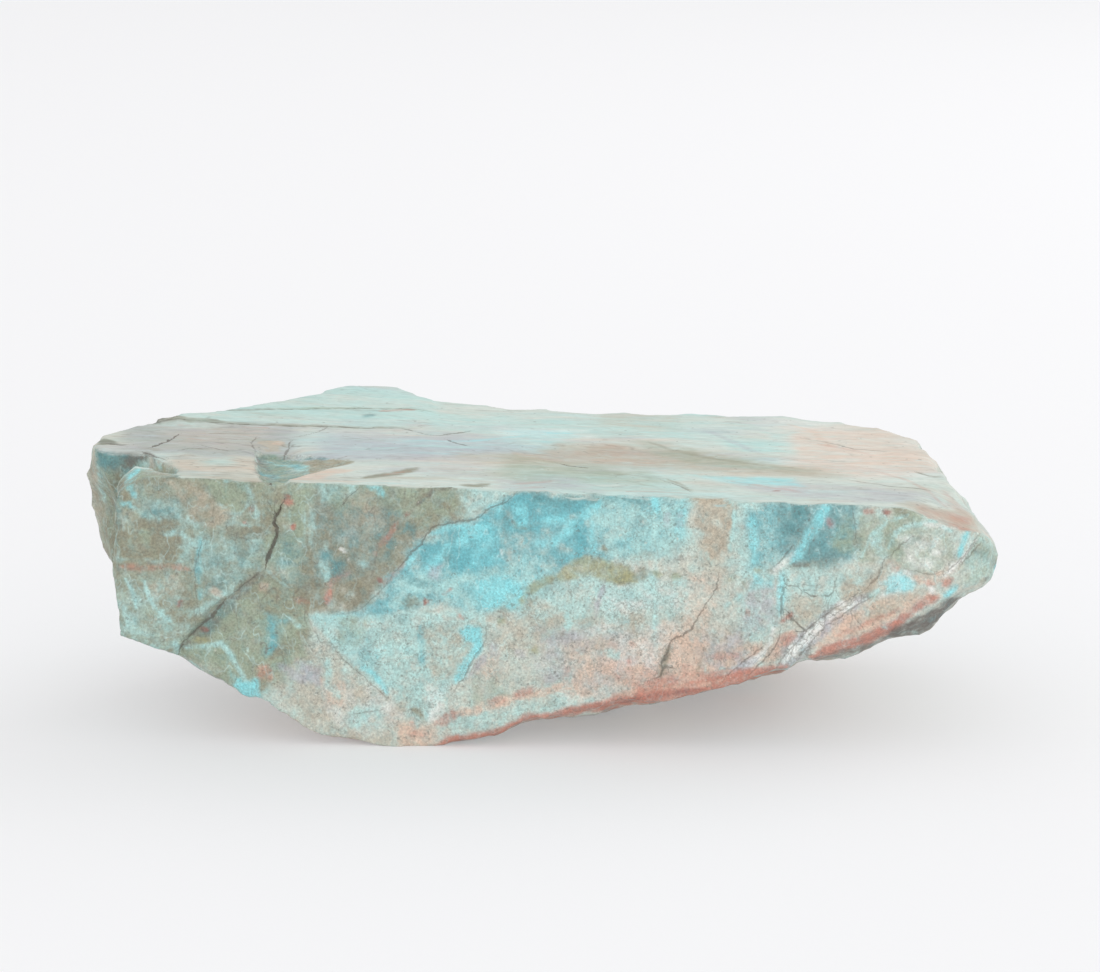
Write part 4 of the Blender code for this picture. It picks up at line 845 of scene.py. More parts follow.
topAreas = [
    (("darkLines", 0.48, 4.0), [(-98, 10), (-40, 12), (-36, -24), (-60, -46), (-92, -40)]),
    (("aqua", 0.28, 3.0), [(-95, 8.5), (-34, 9), (-22, 20), (-26, 60), (-60, 56), (-95, 20)]),
    (("grey", 0.70, 4.0), ("green", 0.25, 4.0), [(-95, 6), (-56, 8), (-54, -20), (-78, -24), (-92, -20)]),
    (("peach", 0.14, 5.0), [(-86, 6), (-62, 6), (-62, -14), (-82, -18)]),
    (("tan", 0.30, 3.0), [(-82, -24), (-62, -22), (-58, -50), (-80, -48)]),
    (("peach", 0.20, 3.0), [(-82, -26), (-64, -24), (-60, -40), (-80, -40)]),
    (("aqua", 0.30, 2.0), [(-74, -26), (-68, -24), (-67, -34), (-73, -34)]),
    (("sky", 0.16, 5.0), [(-54, -2), (-20, 0), (6, 12), (6, -3), (-15, -16), (-46, -23)]),
    (("grey", 0.42, 5.0), [(-50, 6), (-10, 6), (0, -10), (-20, -22), (-50, -26)]),
    (("aqua", 0.35, 4.0), [(-30, 30), (10, 26), (34, 30), (36, 12), (8, 6), (-24, 6)]),
    (("white", 0.25, 2.5), [(-10, 14), (12, 16), (14, 6), (-8, 4)]),
    (("sky", 0.16, 2.5), [(-8, 11), (9, 14), (10, 8), (5, 2), (-8, 2)]),
    (("tan", 0.55, 3.5), [(-8, -11), (10, 0), (31, 1), (52, -13), (68, -19), (60, -27), (37, -26), (15, -25),
        (-5, -21)]),
    (("rust", 0.08, 3.0), [(-4, -11), (10, -1), (30, 0), (34, -12), (14, -20), (-2, -19)]),
    (("green", 0.35, 3.0), [(24, 3), (34, -1), (52, -14), (66, -22), (58, -25), (36, -16), (26, -6)]),
    (("tan", 0.40, 4.0), [(-18, -14), (-2, -12), (10, -22), (-6, -26), (-20, -22)]),
    (("green", 0.30, 4.0), [(-6, -14), (16, -16), (20, -38), (-8, -38)]),
    (("aqua", 0.34, 4.0), [(-4, -34), (32, -30), (34, -48), (-3, -48)]),
    (("green", 0.25, 3.0), [(-6, -26), (24, -28), (30, -40), (-4, -42)]),
    (("grey", 0.30, 3.0), [(-8, -40), (8, -36), (14, -48), (-6, -48)]),
    (("sky", 0.40, 2.0), [(35, -29), (59, -30), (60, -38), (45, -37)]),
    (("grey", 0.35, 3.0), [(46, -38), (60, -36), (84, -40), (84, -50), (52, -46)]),
    (("grey", 0.25, 2.5), [(58, -33), (88, -38), (90, -44), (74, -42)]),
    (("white", 0.30, 6.0), [(56, 36), (74, 30), (90, 18), (94, -12), (90, -30), (74, -28), (56, -12)]),
    (("peach", 0.36, 5.0), [(60, 24), (87, 32), (94, -16), (73, -29), (58, -16)]),
    (("tan", 0.28, 2.5), [(51, -18), (60, -20), (72, -24), (68, -29), (56, -24)]),
    (("aqua", 0.45, 3.0), [(44, 8), (58, 10), (60, -3), (45, -2)]),
    (("aqua", 0.35, 2.0), [(54, 20), (60, 20), (60, 12), (55, 12)]),
    (("rust", 0.22, 2.0), [(91, -34), (95, -38), (98, -60), (91, -52)]),
    (("tan", 0.45, 2.0), [(80, -50), (88, -47), (97, -38), (99, -60), (84, -60)]),
    (("rust", 0.22, 1.5), [(84, -51), (90, -48), (95, -46), (97, -60), (86, -60)]),
    (("tan", 0.25, 4.0), [(14, 36), (34, 36), (34, 18), (16, 18)]),
    (("green", 0.70, 0.6), ("dark", 0.40, 0.6), [(-99, -8.5), (-95.6, -11.5), (-94, -14.5), (-98.6, -17)]),
    # the chip
    (("green", 0.85, 0.35), chipOutline),
    (("teal", 0.22, 0.5), [(-63.9, -15.7), (-62.1, -14.2), (-59, -15.4), (-55, -16), (-50.9, -18),
        (-50.5, -25), (-50, -33), (-54.5, -42), (-59, -47), (-62.5, -36), (-62, -25)]),
    (("dark", 0.16, 0.6), [(-63.9, -15.7), (-60.2, -15), (-59, -24), (-58.5, -33), (-56, -42), (-57.5, -48),
        (-62.5, -36), (-62, -25)]),
    (("aqua", 0.50, 0.6), [(-55.5, -20), (-51, -22), (-50, -30), (-53, -30)]),
    (("tan", 0.50, 0.5), ("brown", 0.52, 0.5), [(-51.5, -19), (-46.6, -20.7), (-41.2, -25.1), (-43.5, -29.8),
        (-45.8, -33.1), (-49, -37), (-51, -30)]),
    (("tan", 0.60, 0.4), [(-63.8, -10.3), (-60.8, -7.6), (-57.5, -5.6), (-55.8, -8.4), (-57.7, -13.2),
        (-61, -12.4)]),
    (("peach", 0.35, 0.6), [(-60, -10.5), (-58, -6.5), (-56.5, -7), (-57, -10)]),
    (("peach", 0.45, 0.6), [(-54, -38), (-47, -34), (-40, -33), (-46, -41), (-52, -46)]),
]

topStreaks = [
    ("brown", 0.50, 1.8, [(-91, 8.4), (-83, 10.2), (-71, 8.9), (-58, 8.2), (-48, 8.9), (-31, 10.4)]),
    ("brown", 0.40, 1.8, [(-79, 17), (-66, 21), (-61, 22)]),
    ("green", 0.45, 1.6, [(-61, 22), (-40, 27), (-25, 29.5)]),
    ("teal", 0.55, 2.4, [(-40, 19), (-38, 21)]),
    ("rust", 0.55, 1.8, [(-37, 24.4), (-32.4, 27), (-29, 28.6)]),
    ("brown", 0.85, 2.6, [(-37.5, -42), (-32.6, -38.4), (-29.2, -36), (-26.2, -32.5)]),
    ("rust", 0.30, 0.8, [(-34, -39.6), (-28, -35)]),
    ("brown", 0.80, 2.2, [(-15.2, -46.2), (-12.4, -46.5), (-9.8, -44.4)]),
    ("brown", 0.50, 2.0, [(-89.4, -17.6), (-87, -18.3), (-84.2, -20)]),
    ("dark", 0.45, 1.3, [(-97, -15), (-93.2, -15.4)]),
    ("brown", 0.35, 1.2, [(-95, -5), (-93, -5.4)]),
    ("dark", 0.60, 1.2, [(-88.4, -21.6), (-86.6, -24), (-84.6, -26.4)]),
    ("brown", 0.45, 2.4, [(-86.3, -30), (-83.4, -31.5)]),
    ("rust", 0.25, 2.0, [(-86.3, -30), (-83.4, -31.5)]),
    ("brown", 0.60, 0.9, [(-83, -38.6), (-80.4, -39.6), (-78.6, -41.4)]),
    ("rust", 0.30, 1.0, [(-79, -8), (-76, -9)]),
    ("rust", 0.30, 1.2, [(-83, 7), (-80, 7.4)]),
    ("rust", 0.25, 1.0, [(-68, 6.2), (-62, 6)]),
    ("sky", 0.45, 1.3, [(2.2, 10.4), (9, 11.6)]),
    ("sky", 0.30, 1.6, [(-30, -4), (-16, 0), (-2, 6)]),
    ("aqua", 0.40, 1.8, [(-46, -16), (-30, -10), (-12, -6)]),
    ("grey", 0.40, 1.8, [(-40, -8), (-24, -12), (-8, -8)]),
    ("brown", 0.45, 1.6, [(26, 3.6), (33.4, -2.8), (39, -7.2), (51.7, -17)]),
    ("brown", 0.55, 1.1, [(5.7, -22), (8.3, -24.7), (12.1, -26.2)]),
    ("brown", 0.45, 1.2, [(18.1, -31.5), (21.4, -32)]),
    ("rust", 0.28, 1.6, [(-4.1, -43.4), (0.1, -41), (4.1, -39.6)]),
    ("rust", 0.22, 1.6, [(-3.2, -47.6), (2.3, -45.5)]),
    ("brown", 0.45, 1.2, [(29.6, -35), (32.1, -38.5), (34.5, -45)]),
    ("brown", 0.30, 1.0, [(20, -37), (27, -42)]),
    ("red", 0.55, 1.2, [(52.2, -42.7), (53.9, -41.7)]),
    ("rust", 0.30, 1.4, [(44, -34), (52, -39), (58, -43)]),
    ("brown", 0.45, 1.0, [(86, -19.2), (88.8, -24.5), (91.5, -25.5)]),
    ("peach", 0.35, 2.0, [(60.6, 29), (65.6, 23), (68.4, 6)]),
    ("rust", 0.20, 1.4, [(66, 8), (72, 4), (78, -2)]),
    ("rust", 0.20, 1.2, [(76, -20), (84, -30), (90, -44)]),
    ("grey", 0.35, 2.0, [(40, 18), (46, 8), (52, -4)]),
    ("turquoise", 0.40, 2.2, [(-54.8, -22), (-52, -27)]),
    ("turquoise", 0.45, 2.4, [(-61, -30), (-57, -34)]),
    ("sky", 0.40, 1.6, [(-60, -19), (-56, -22)]),
    ("dark", 0.45, 1.0, [(-63.6, -16), (-62.4, -22), (-62.4, -29), (-61.2, -37), (-59.5, -43)]),
    ("dark", 0.35, 0.8, [(-59, -30), (-57.5, -36), (-56, -40)]),
    ("teal", 0.45, 1.0, [(-56, -16.5), (-50.9, -18.4), (-46.6, -21)]),
    # in the pocket at the left end: teal with painted shade
    ("teal", 0.60, 3.0, [(-95.4, -22), (-94, -28)]),
    ("rust", 0.30, 1.0, [(20, -46), (34, -47)]),
]

topCracks = [
    (0.4, 0.4, [(-91, 8.2), (-83, 9.8), (-72, 8.8), (-68.5, 8.2), (-58, 8.1), (-48.7, 8.9), (-31.2, 10.4)]),
    (0.4, 0.3, [(-31.2, 10.4), (-27, 7.4), (-23.3, 3.9)]),
    (0.5, 0.2, [(-23.3, 3.7), (-17.1, 7.9), (-14.9, 10.4)]),
    (0.4, 0.2, [(-55, -2), (-51.6, 3), (-48.6, 7.8)]),
    (0.4, 0.2, [(-79, 16.8), (-66.4, 21), (-61.3, 21.7), (-52, 24), (-40.2, 27.1), (-25.3, 29.4)]),
    (0.5, 0.2, [(-20.4, 0), (-18, -3), (-15, -5.6)]),
    (0.7, 0.4, [(-82, -3.6), (-82.9, -8.1), (-83.9, -11.5), (-85.3, -13.8), (-87, -17.2)]),
    (0.5, 0.2, [(-55.8, -6.4), (-56.7, -16.1)]),
    (0.4, 0.2, [(-64.4, -4), (-65, -10), (-63.8, -14.5)]),
    (0.6, 0.2, [(5.7, -22), (8.3, -24.7), (12.1, -26.2)]),
    (0.4, 0.1, [(2, -17), (5.7, -22)]),
    (0.4, 0.0, [(28, -35), (32, -40), (34, -45)]),
    (0.4, 0.1, [(86, -19.2), (88.8, -24.9), (91.5, -25.5)]),
    (0.4, 0.1, [(-76, -14), (-70, -18), (-66, -16)]),
    (0.4, 0.0, [(62, 14), (68, 10), (74, 4), (82, 2)]),
    (0.4, 0.0, [(70, -30), (78, -34), (88, -36)]),
    (0.7, 0.4, [(-57.6, -45), (-57.2, -48.5)]),
    (0.5, 0.1, [(-97, -14.8), (-94, -15.6), (-91.6, -15)]),
    (0.5, 0.2, [(-88.6, -21.4), (-86.4, -24), (-84.4, -26.4), (-82.6, -26)]),
    (0.4, 0.1, [(-84.4, -26.4), (-82.2, -29)]),
    (0.4, 0.1, [(-81, -20), (-77, -17), (-74, -17.4)]),
    (0.4, 0.0, [(-70, -26), (-65, -28), (-60.6, -27)]),
    (0.4, 0.0, [(-76, -2), (-71, 0), (-66, -1)]),
]


def cover(laid, name, amount, spots=slice(None)):
    # a mineral laid over the others: each keeps 1 - amount of its share, and it gains amount.
    # A fine mark only gains.
    row = laidNames.index(name)
    if name in minerals:
        laid[:len(minerals), spots] *= 1 - amount
        laid[row, spots] += amount
    else:
        laid[row, spots] += amount * (1 - laid[row, spots])


def layClouds(laid, points, facing):
    # every side: clay with clouds of each mineral, where a noise is above or below the values given.
    # The painted faces then cover them, so they show on the sides that the photo doesn't.
    turquoiseClouds = layeredNoise(points, painting["turquoiseClouds"], 31)
    clayClouds = layeredNoise(points, painting["clayClouds"], 32)
    ironClouds = layeredNoise(points * (1, 1, 1.7), painting["ironClouds"], 33)
    veins = np.abs(layeredNoise(points, painting["veins"], 34))
    cover(laid, "aqua", 0.60 * smoothStep(-0.9, 0.5, turquoiseClouds))
    cover(laid, "green", 0.75 * smoothStep(-0.3, 0.6, clayClouds))
    cover(laid, "brown", 0.75 * smoothStep(0.1, 0.8, ironClouds))
    cover(laid, "turquoise", 0.80 * smoothStep(0.2, 0.9, turquoiseClouds))
    cover(laid, "tan", 0.65 * smoothStep(0.30, 0.9, -clayClouds))
    cover(laid, "sky", 0.75 * smoothStep(0.12, 0.03, veins))
    # pink clay low on the sides, and clay with iron and crust on the underside
    lowDown = points[:, 2] - 0.10 * np.abs(points[:, 0]) + 5 * turquoiseClouds
    cover(laid, "peach", 0.60 * smoothStep(16, 5, lowDown))
    under = smoothStep(0.30, 0.70, -facing[:, 2])
    cover(laid, "tan", 0.45 * under)
    cover(laid, "grey", 0.50 * under * smoothStep(-0.5, 0.5, clayClouds))
    cover(laid, "rust", 0.35 * under * smoothStep(0.2, 0.8, ironClouds))
    cover(laid, "dark", 0.50 * under * smoothStep(0.55, 0.9, turquoiseClouds))
    cover(laid, "specks", 0.55 + 0.35 * np.clip(clayClouds, -1, 1))
    cover(laid, "paleLines", 0.5 * smoothStep(-0.2, 0.6, ironClouds))
    cover(laid, "darkLines", 0.4)


def paintedSides(points, facing):
    # share of each point that is painted as the top, because it faces up, and as the photographed
    # front, because it faces the photo's place and isn't the top's
    towards = cameraPlace() - points
    seen = (facing * towards).sum(axis=1) / np.linalg.norm(towards, axis=1)
    # the worn edge above the front belongs to the front, and so does the worn corner
    rounded = 0.30 * smoothStep(4.0, 2.0, behindFront(points))
    rounded += 0.60 * smoothStep(-77, -80, points[:, 0]) * smoothStep(-35, -38, points[:, 1])
    top = smoothStep(0.0, 0.22, facing[:, 2] - 0.45 - rounded) * smoothStep(28, 40, levelHeight(points))
    return smoothStep(0.02, 0.22, seen) * (1 - top), top


def layGround(laid, face, ground):
    # where a face is painted, what lay there gives way to the ground of that face
    spots = np.nonzero(face > painting["leastFace"])[0]
    laid[:, spots] *= 1 - face[spots]
    for name, amount in ground.items():
        laid[laidNames.index(name), spots] += amount * face[spots]


def layMarks(laid, flat, face, unevenness, look, areas, streaks):
    # areas and then streaks cover a face in the order of their lists. An area's amount is raised to
    # 1 - (1 - amount) ** strength, fades out over its edge and is mottled inside.
    spots = np.nonzero(face > painting["leastFace"])[0]
    flat, face = flat[spots], face[spots]
    mottle, broken = unevenness[:, spots]
    bend = look["stretch"] * bending(flat)

    def coverThere(name, amount):
        thick = amount > painting["leastAmount"]
        cover(laid, name, amount[thick], spots[thick])

    for *layers, outline in areas:
        depth = outlineDepth(flat + bend, outline)
        for name, amount, soft in layers:
            raised = (1 - (1 - amount) ** look["strength"]) * smoothStep(-soft, soft, depth)
            coverThere(name, np.clip(raised * mottle, 0, 1) * face)
            # and a broken hairline along its border, pale and brown by turns
            border = smoothStep(0.5, 0.15, np.abs(depth)) * broken
            coverThere(("aqua", "brown")[len(outline) % 2], face * look["rim"] * amount * border)
    for name, amount, width, path in streaks:
        away, along = pathDistance(flat + painting["streakBend"] * bend, path)
        ends = np.minimum(1, 0.45 + 4 * np.minimum(along, 1 - along))       # narrower towards both ends
        uneven = 0.25 * min(width, 2.5) * (mottle - painting["mottleMean"])
        depth = 0.5 * width * ends - np.abs(away) + uneven
        soft = min(0.6, 0.3 * width)
        coverThere(name, amount * face * smoothStep(-soft, soft, depth))


def markCracks(piece, points, front, top):
    # signed distance to the nearest dark line, half its width there, and how dark it is: 0 where none is near
    distance, half, tone = np.full(len(points), 3.0), np.zeros(len(points)), np.zeros(len(points))
    nearest = np.full(len(points), 3.0)
    for width, _, near, _, away, along in cracksNear(points, front, top, 3, 0.3):
        closer = np.abs(away) < nearest[near]
        spots, away, along = near[closer], away[closer], along[closer]
        taper = smoothStep(0, 0.15, along) * smoothStep(1, 0.85, along)
        nearest[spots] = np.abs(away)
        distance[spots] = np.clip(away, -3, 3)
        half[spots] = 0.5 * width * (0.35 + 0.65 * taper)
        tone[spots] = min(1, 0.15 + 0.85 * width) * smoothStep(1.7, 1.2, np.abs(away))
    attribute = piece.data.attributes.new("crack", "FLOAT_VECTOR", "POINT")
    attribute.data.foreach_set("vector", np.stack([distance, half, tone], axis=1).ravel())


def paintMinerals(piece):
    # how much of each mineral and mark lies at each point: the clouds of the hidden sides, then the
    # front, then the top, stored three to an attribute
    points, facing, _ = readMesh(piece.data)
    laid = np.zeros((len(laidNames), len(points)))
    layClouds(laid, points, facing)
    front, top = paintedSides(points, facing)
    mottle = np.clip(painting["mottleMean"] + layeredNoise(points, painting["mottles"], 71), 0.3, 1.12)
    broken = smoothStep(-0.1, 0.5, layeredNoise(points, painting["gaps"], 72))
    unevenness = np.stack([mottle, broken])
    layGround(laid, front, frontGround)
    layMarks(laid, seenAt(points), front, unevenness, painting["front"], frontAreas, frontStreaks)
    layGround(laid, top, topGround)
    for name, amount, seed in topClouds:
        streaky = layeredNoise(points * (painting["topDrawnOut"], 1, 1), painting["topClouds"], seed)
        cover(laid, name, amount * smoothStep(0.1, 0.9, streaky) * top)
    layMarks(laid, points[:, :2], top, unevenness, painting["top"], topAreas, topStreaks)
    # the last row is how calm the grain is: on the smooth top, but not in its chip
    inChip = smoothStep(0.0, 0.4, outlineDepth(points[:, :2], chipOutline))
    laid = np.vstack([laid, 0.6 * top * (1 - inChip)])
    for row in range(0, len(laid), 3):
        attribute = piece.data.attributes.new("share_%d" % (row // 3), "FLOAT_VECTOR", "POINT")
        attribute.data.foreach_set("vector", laid[row:row + 3].T.ravel())
    markCracks(piece, points, front, top)
    print("slab painted")


def linearColour(code):
    # sRGB hex to linear: c / 12.92 below 0.04045, else ((c + 0.055) / 1.055) ** 2.4
    parts = [int(code[n:n + 2], 16) / 255 for n in (1, 3, 5)]
    return tuple(c / 12.92 if c <= 0.04045 else ((c + 0.055) / 1.055) ** 2.4 for c in parts) + (1.0,)


def addNode(tree, kind, settings, sockets, output=0):
    # one node with its settings; each socket gets its value, or the output that is linked to it. Sockets
    # that share a name go by number: A and B of a colour mix are 6 and 7, a vector's ranges 7 to 10.
    node = tree.nodes.new(kind)
    for name, value in settings.items():
        setattr(node, name, value)
    for name, value in sockets.items():
        if isinstance(value, bpy.types.NodeSocket):
            tree.links.new(value, node.inputs[name])
        else:
            node.inputs[name].default_value = value
    return node.outputs[output]


stoneLook = {
    "grain": 2.8,            # mm, size of the largest clouds of grains that mingle where two minerals meet
    "grainBand": (0.36, 0.64),       # values of its noise between which a mineral goes from thin to thick
    "leastGrain": 0.30,      # how little of a mineral shows in its thinnest grains, 0 to 1
    "calmGrain": 0.75,       # the same where the stone is wholly calm
    "mostClay": 0.45,        # weight of the clay where no mineral lies, and where they fill it all
    "leastClay": 0.001,
    "topDrawnOut": 0.22,     # the grain of the smooth top is drawn out along it by the inverse of this
    "speckSpacing": 0.8,     # mm between specks
    "speckRadius": 0.23,     # of that spacing
    "speckTone": 0.42,
    "speckDepth": 0.6,       # of the bump
    "paleSpecks": 0.90,      # specks whose chance is above this are pale ones
    "toneGrain": 0.5,        # mm, fine light and dark, coarser than the real 0.1 mm grain so that it shows
    "toneShare": 0.12,
    "cloudGrain": 3.6,       # mm, broader light and dark
    "cloudShare": 0.07,
    "stainGrain": 2.6,       # mm, size of the spots of thin turquoise between the other grains
    "stainShare": 0.17,
    "wormSpacing": 1.5,      # mm between the curled dark marks of the host rock
    "lineSpacing": 4.6,      # mm between hairlines
    "lineWidth": 0.026,      # of the noise that they run along
    "netSpacing": 1.9,       # mm between the lines of a crushed vein
    "netTone": 0.55,
    "netWarp": 1.8,          # mm by which the net and the specks are pushed out of line
    "crackShake": 0.6,       # mm by which a dark line wavers
    "crackDepth": 1.2,       # of the bump
    "crack": "#5f564c",
    "roughness": (0.58, 0.82),
    "bumpGrain": 0.6,        # mm
    "bumpHeight": 0.10,      # mm
    "ior": 1.55,             # clay and quartz 1.55, turquoise 1.62
}


def stoneNoises(tree, place, onTop):
    # each noise: the place divided by the noise's size, and by its tallness along Z, and drawn out
    # along the top
    look = stoneLook
    along = addNode(tree, "ShaderNodeMapRange", {}, {
        "Value": onTop, "To Min": 1.0, "To Max": look["topDrawnOut"]})
    drawnOut = addNode(tree, "ShaderNodeCombineXYZ", {}, {0: along, 1: 1.0, 2: 1.0})
    noises = {}
    for name, size, detail, tall, output, seed in (
            ("grains0", look["grain"], 5, 1, "Color", 13), ("grains1", look["grain"], 5, 1, "Color", 27),
            ("grains2", look["grain"], 5, 1, "Color", 41), ("grains3", look["grain"], 5, 1, "Color", 55),
            ("grains4", look["grain"], 5, 1, "Color", 68), ("tone", look["toneGrain"], 2, 1, "Fac", 71),
            ("cloud", look["cloudGrain"], 3, 1, "Fac", 83), ("pale", look["lineSpacing"], 2, 1.6, "Fac", 7),
            ("darkLine", look["lineSpacing"], 2, 2.4, "Fac", 19), ("shake", 1.3, 2, 1, "Fac", 29),
            ("worm", look["wormSpacing"], 2, 1, "Fac", 43), ("stain", look["stainGrain"], 4, 1, "Fac", 61),
            ("broken", 4.5, 2, 1, "Fac", 37), ("warp", 1.0, 2, 1, "Color", 23),
            ("bump", look["bumpGrain"], 3, 1, "Fac", 51)):
        moved = addNode(tree, "ShaderNodeVectorMath", {"operation": "MULTIPLY_ADD"}, {
            0: place, 1: (1, 1, 1 / tall), 2: (seed, -seed, 2 * seed)})
        moved = addNode(tree, "ShaderNodeVectorMath", {"operation": "MULTIPLY"}, {0: moved, 1: drawnOut})
        noises[name] = addNode(tree, "ShaderNodeTexNoise", {}, {
            "Vector": moved, "Scale": 1 / size, "Detail": detail, "Roughness": 0.62}, output)
    return noises


def mingledMinerals(tree, laid, noises, calm):
    # weight of each mineral: its share times its own grain noise, from leastGrain to 1, squared
    look = stoneLook
    names = list(minerals)
    least = addNode(tree, "ShaderNodeMapRange", {}, {
        "Value": calm, "To Min": look["leastGrain"], "To Max": look["calmGrain"]})
    thin, thick = [(edge,) * 3 for edge in look["grainBand"]]
    weights, filled = [], None
    for n, three in enumerate(laid):
        grains = addNode(tree, "ShaderNodeMapRange", {"data_type": "FLOAT_VECTOR"}, {
            "Vector": noises["grains%d" % n], 7: thin, 8: thick, 9: least, 10: (1, 1, 1)}, "Vector")
        grains = addNode(tree, "ShaderNodeVectorMath", {"operation": "MULTIPLY"}, {0: grains, 1: grains})
        weighed = addNode(tree, "ShaderNodeVectorMath", {"operation": "MULTIPLY"}, {0: three, 1: grains})
        weights += list(addNode(tree, "ShaderNodeSeparateXYZ", {}, {0: weighed}).node.outputs)
        counted = tuple(1.0 if 3 * n + k < len(names) else 0.0 for k in range(3))
        part = addNode(tree, "ShaderNodeVectorMath", {"operation": "DOT_PRODUCT"}, {
            0: three, 1: counted}, "Value")
        filled = addNode(tree, "ShaderNodeMath", {"operation": "ADD"}, {0: filled, 1: part}) if n else part
    # the clay takes what the minerals leave of 1, and each mineral then mixes in by its part of the
    # running total
    total = addNode(tree, "ShaderNodeMapRange", {}, {
        "Value": filled, "To Min": look["mostClay"], "To Max": look["leastClay"]})
    colour = linearColour(clay)
    for name, weight in zip(names, weights):
        total = addNode(tree, "ShaderNodeMath", {"operation": "ADD"}, {0: total, 1: weight})
        part = addNode(tree, "ShaderNodeMath", {"operation": "DIVIDE"}, {0: weight, 1: total})
        colour = addNode(tree, "ShaderNodeMix", {"data_type": "RGBA"}, {
            0: part, 6: colour, 7: linearColour(minerals[name])}, 2)
    return colour


def thinTurquoise(tree, colour, noises, loud):
    # spots of thin turquoise between the grains, where a noise is high and the stone isn't calm
    stain = addNode(tree, "ShaderNodeMapRange", {}, {
        "Value": noises["stain"], "From Min": 0.50, "From Max": 0.66, "To Max": stoneLook["stainShare"]})
    stain = addNode(tree, "ShaderNodeMath", {"operation": "MULTIPLY"}, {0: stain, 1: loud})
    return addNode(tree, "ShaderNodeMix", {"data_type": "RGBA"}, {
        0: stain, 6: colour, 7: linearColour(minerals["turquoise"])}, 2)


def hairlines(tree, colour, noises, amounts):
    # hairlines run where a noise passes its middle value, and a second noise breaks them
    width = stoneLook["lineWidth"]
    for name, mark, halfWidth, most, low, high in (
            ("worm", "specks", 2 * width, 0.44, 0.42, 0.54), ("pale", "paleLines", width, 0.6, 0.42, 0.60),
            ("darkLine", "darkLines", 0.7 * width, 0.7, 0.60, 0.40)):
        ridge = addNode(tree, "ShaderNodeMath", {"operation": "SUBTRACT"}, {0: noises[name], 1: 0.5})
        ridge = addNode(tree, "ShaderNodeMath", {"operation": "ABSOLUTE"}, {0: ridge})
        line = addNode(tree, "ShaderNodeMapRange", {}, {
            "Value": ridge, "From Max": halfWidth, "To Min": most, "To Max": 0.0})
        gaps = addNode(tree, "ShaderNodeMapRange", {}, {
            "Value": noises["broken"], "From Min": low, "From Max": high})
        for share in (gaps, amounts[mark]):
            line = addNode(tree, "ShaderNodeMath", {"operation": "MULTIPLY"}, {0: line, 1: share})
        colour = addNode(tree, "ShaderNodeMix", {"data_type": "RGBA"}, {
            0: line, 6: colour, 7: linearColour(fineMarks[mark])}, 2)
    return colour


def crushedVein(tree, colour, noises, shaken, darkLines):
    # where the dark lines lie thickest, a broken net of them: the edges between the cells of a crushed vein
    look = stoneLook
    net = addNode(tree, "ShaderNodeTexVoronoi", {"feature": "DISTANCE_TO_EDGE"}, {
        "Vector": shaken, "Scale": 1 / look["netSpacing"]}, "Distance")
    net = addNode(tree, "ShaderNodeMapRange", {}, {
        "Value": net, "From Min": 0.01, "From Max": 0.09, "To Min": look["netTone"], "To Max": 0.0})
    for value, low, high in ((darkLines, 0.86, 0.98), (noises["shake"], 0.42, 0.55)):
        share = addNode(tree, "ShaderNodeMapRange", {}, {"Value": value, "From Min": low, "From Max": high})
        net = addNode(tree, "ShaderNodeMath", {"operation": "MULTIPLY"}, {0: net, 1: share})
    return addNode(tree, "ShaderNodeMix", {"data_type": "RGBA"}, {
        0: net, 6: colour, 7: linearColour(fineMarks["darkLines"])}, 2)


def hostRockSpecks(tree, colour, shaken, specks):
    # dark specks, in as many cells as the specks' share says, each of its own size, and a few pale ones
    look = stoneLook
    cells = addNode(tree, "ShaderNodeTexVoronoi", {}, {
        "Vector": shaken, "Scale": 1 / look["speckSpacing"]}).node.outputs
    chance = addNode(tree, "ShaderNodeSeparateXYZ", {}, {0: cells["Color"]}).node.outputs
    present = addNode(tree, "ShaderNodeMath", {"operation": "LESS_THAN"}, {0: chance[0], 1: specks})
    radius = chance[1]
    for share in (2 * look["speckRadius"], present):
        radius = addNode(tree, "ShaderNodeMath", {"operation": "MULTIPLY"}, {0: radius, 1: share})
    speck = addNode(tree, "ShaderNodeMath", {"operation": "SUBTRACT"}, {0: radius, 1: cells["Distance"]})
    speck = addNode(tree, "ShaderNodeMapRange", {}, {
        "Value": speck, "From Min": -0.02, "From Max": 0.10, "To Max": look["speckTone"]})
    pale = addNode(tree, "ShaderNodeMath", {"operation": "GREATER_THAN"}, {
        0: chance[2], 1: look["paleSpecks"]})
    speckColour = addNode(tree, "ShaderNodeMix", {"data_type": "RGBA"}, {
        0: pale, 6: linearColour(fineMarks["specks"]), 7: linearColour(clay)}, 2)
    colour = addNode(tree, "ShaderNodeMix", {"data_type": "RGBA"}, {0: speck, 6: colour, 7: speckColour}, 2)
    return colour, speck


def lightAndDark(tree, colour, noises, loud):
    # the colour times 1 plus a noise, from grain to grain and from patch to patch: less where it is calm
    for name, size in (("tone", stoneLook["toneShare"]), ("cloud", stoneLook["cloudShare"])):
        spread = addNode(tree, "ShaderNodeMapRange", {"clamp": False}, {
            "Value": noises[name], "From Min": 0.38, "From Max": 0.62, "To Min": -size, "To Max": size})
        tone = addNode(tree, "ShaderNodeMath", {"operation": "MULTIPLY_ADD"}, {0: spread, 1: loud, 2: 1.0})
        colour = addNode(tree, "ShaderNodeVectorMath", {"operation": "SCALE"}, {0: colour, "Scale": tone})
    return colour


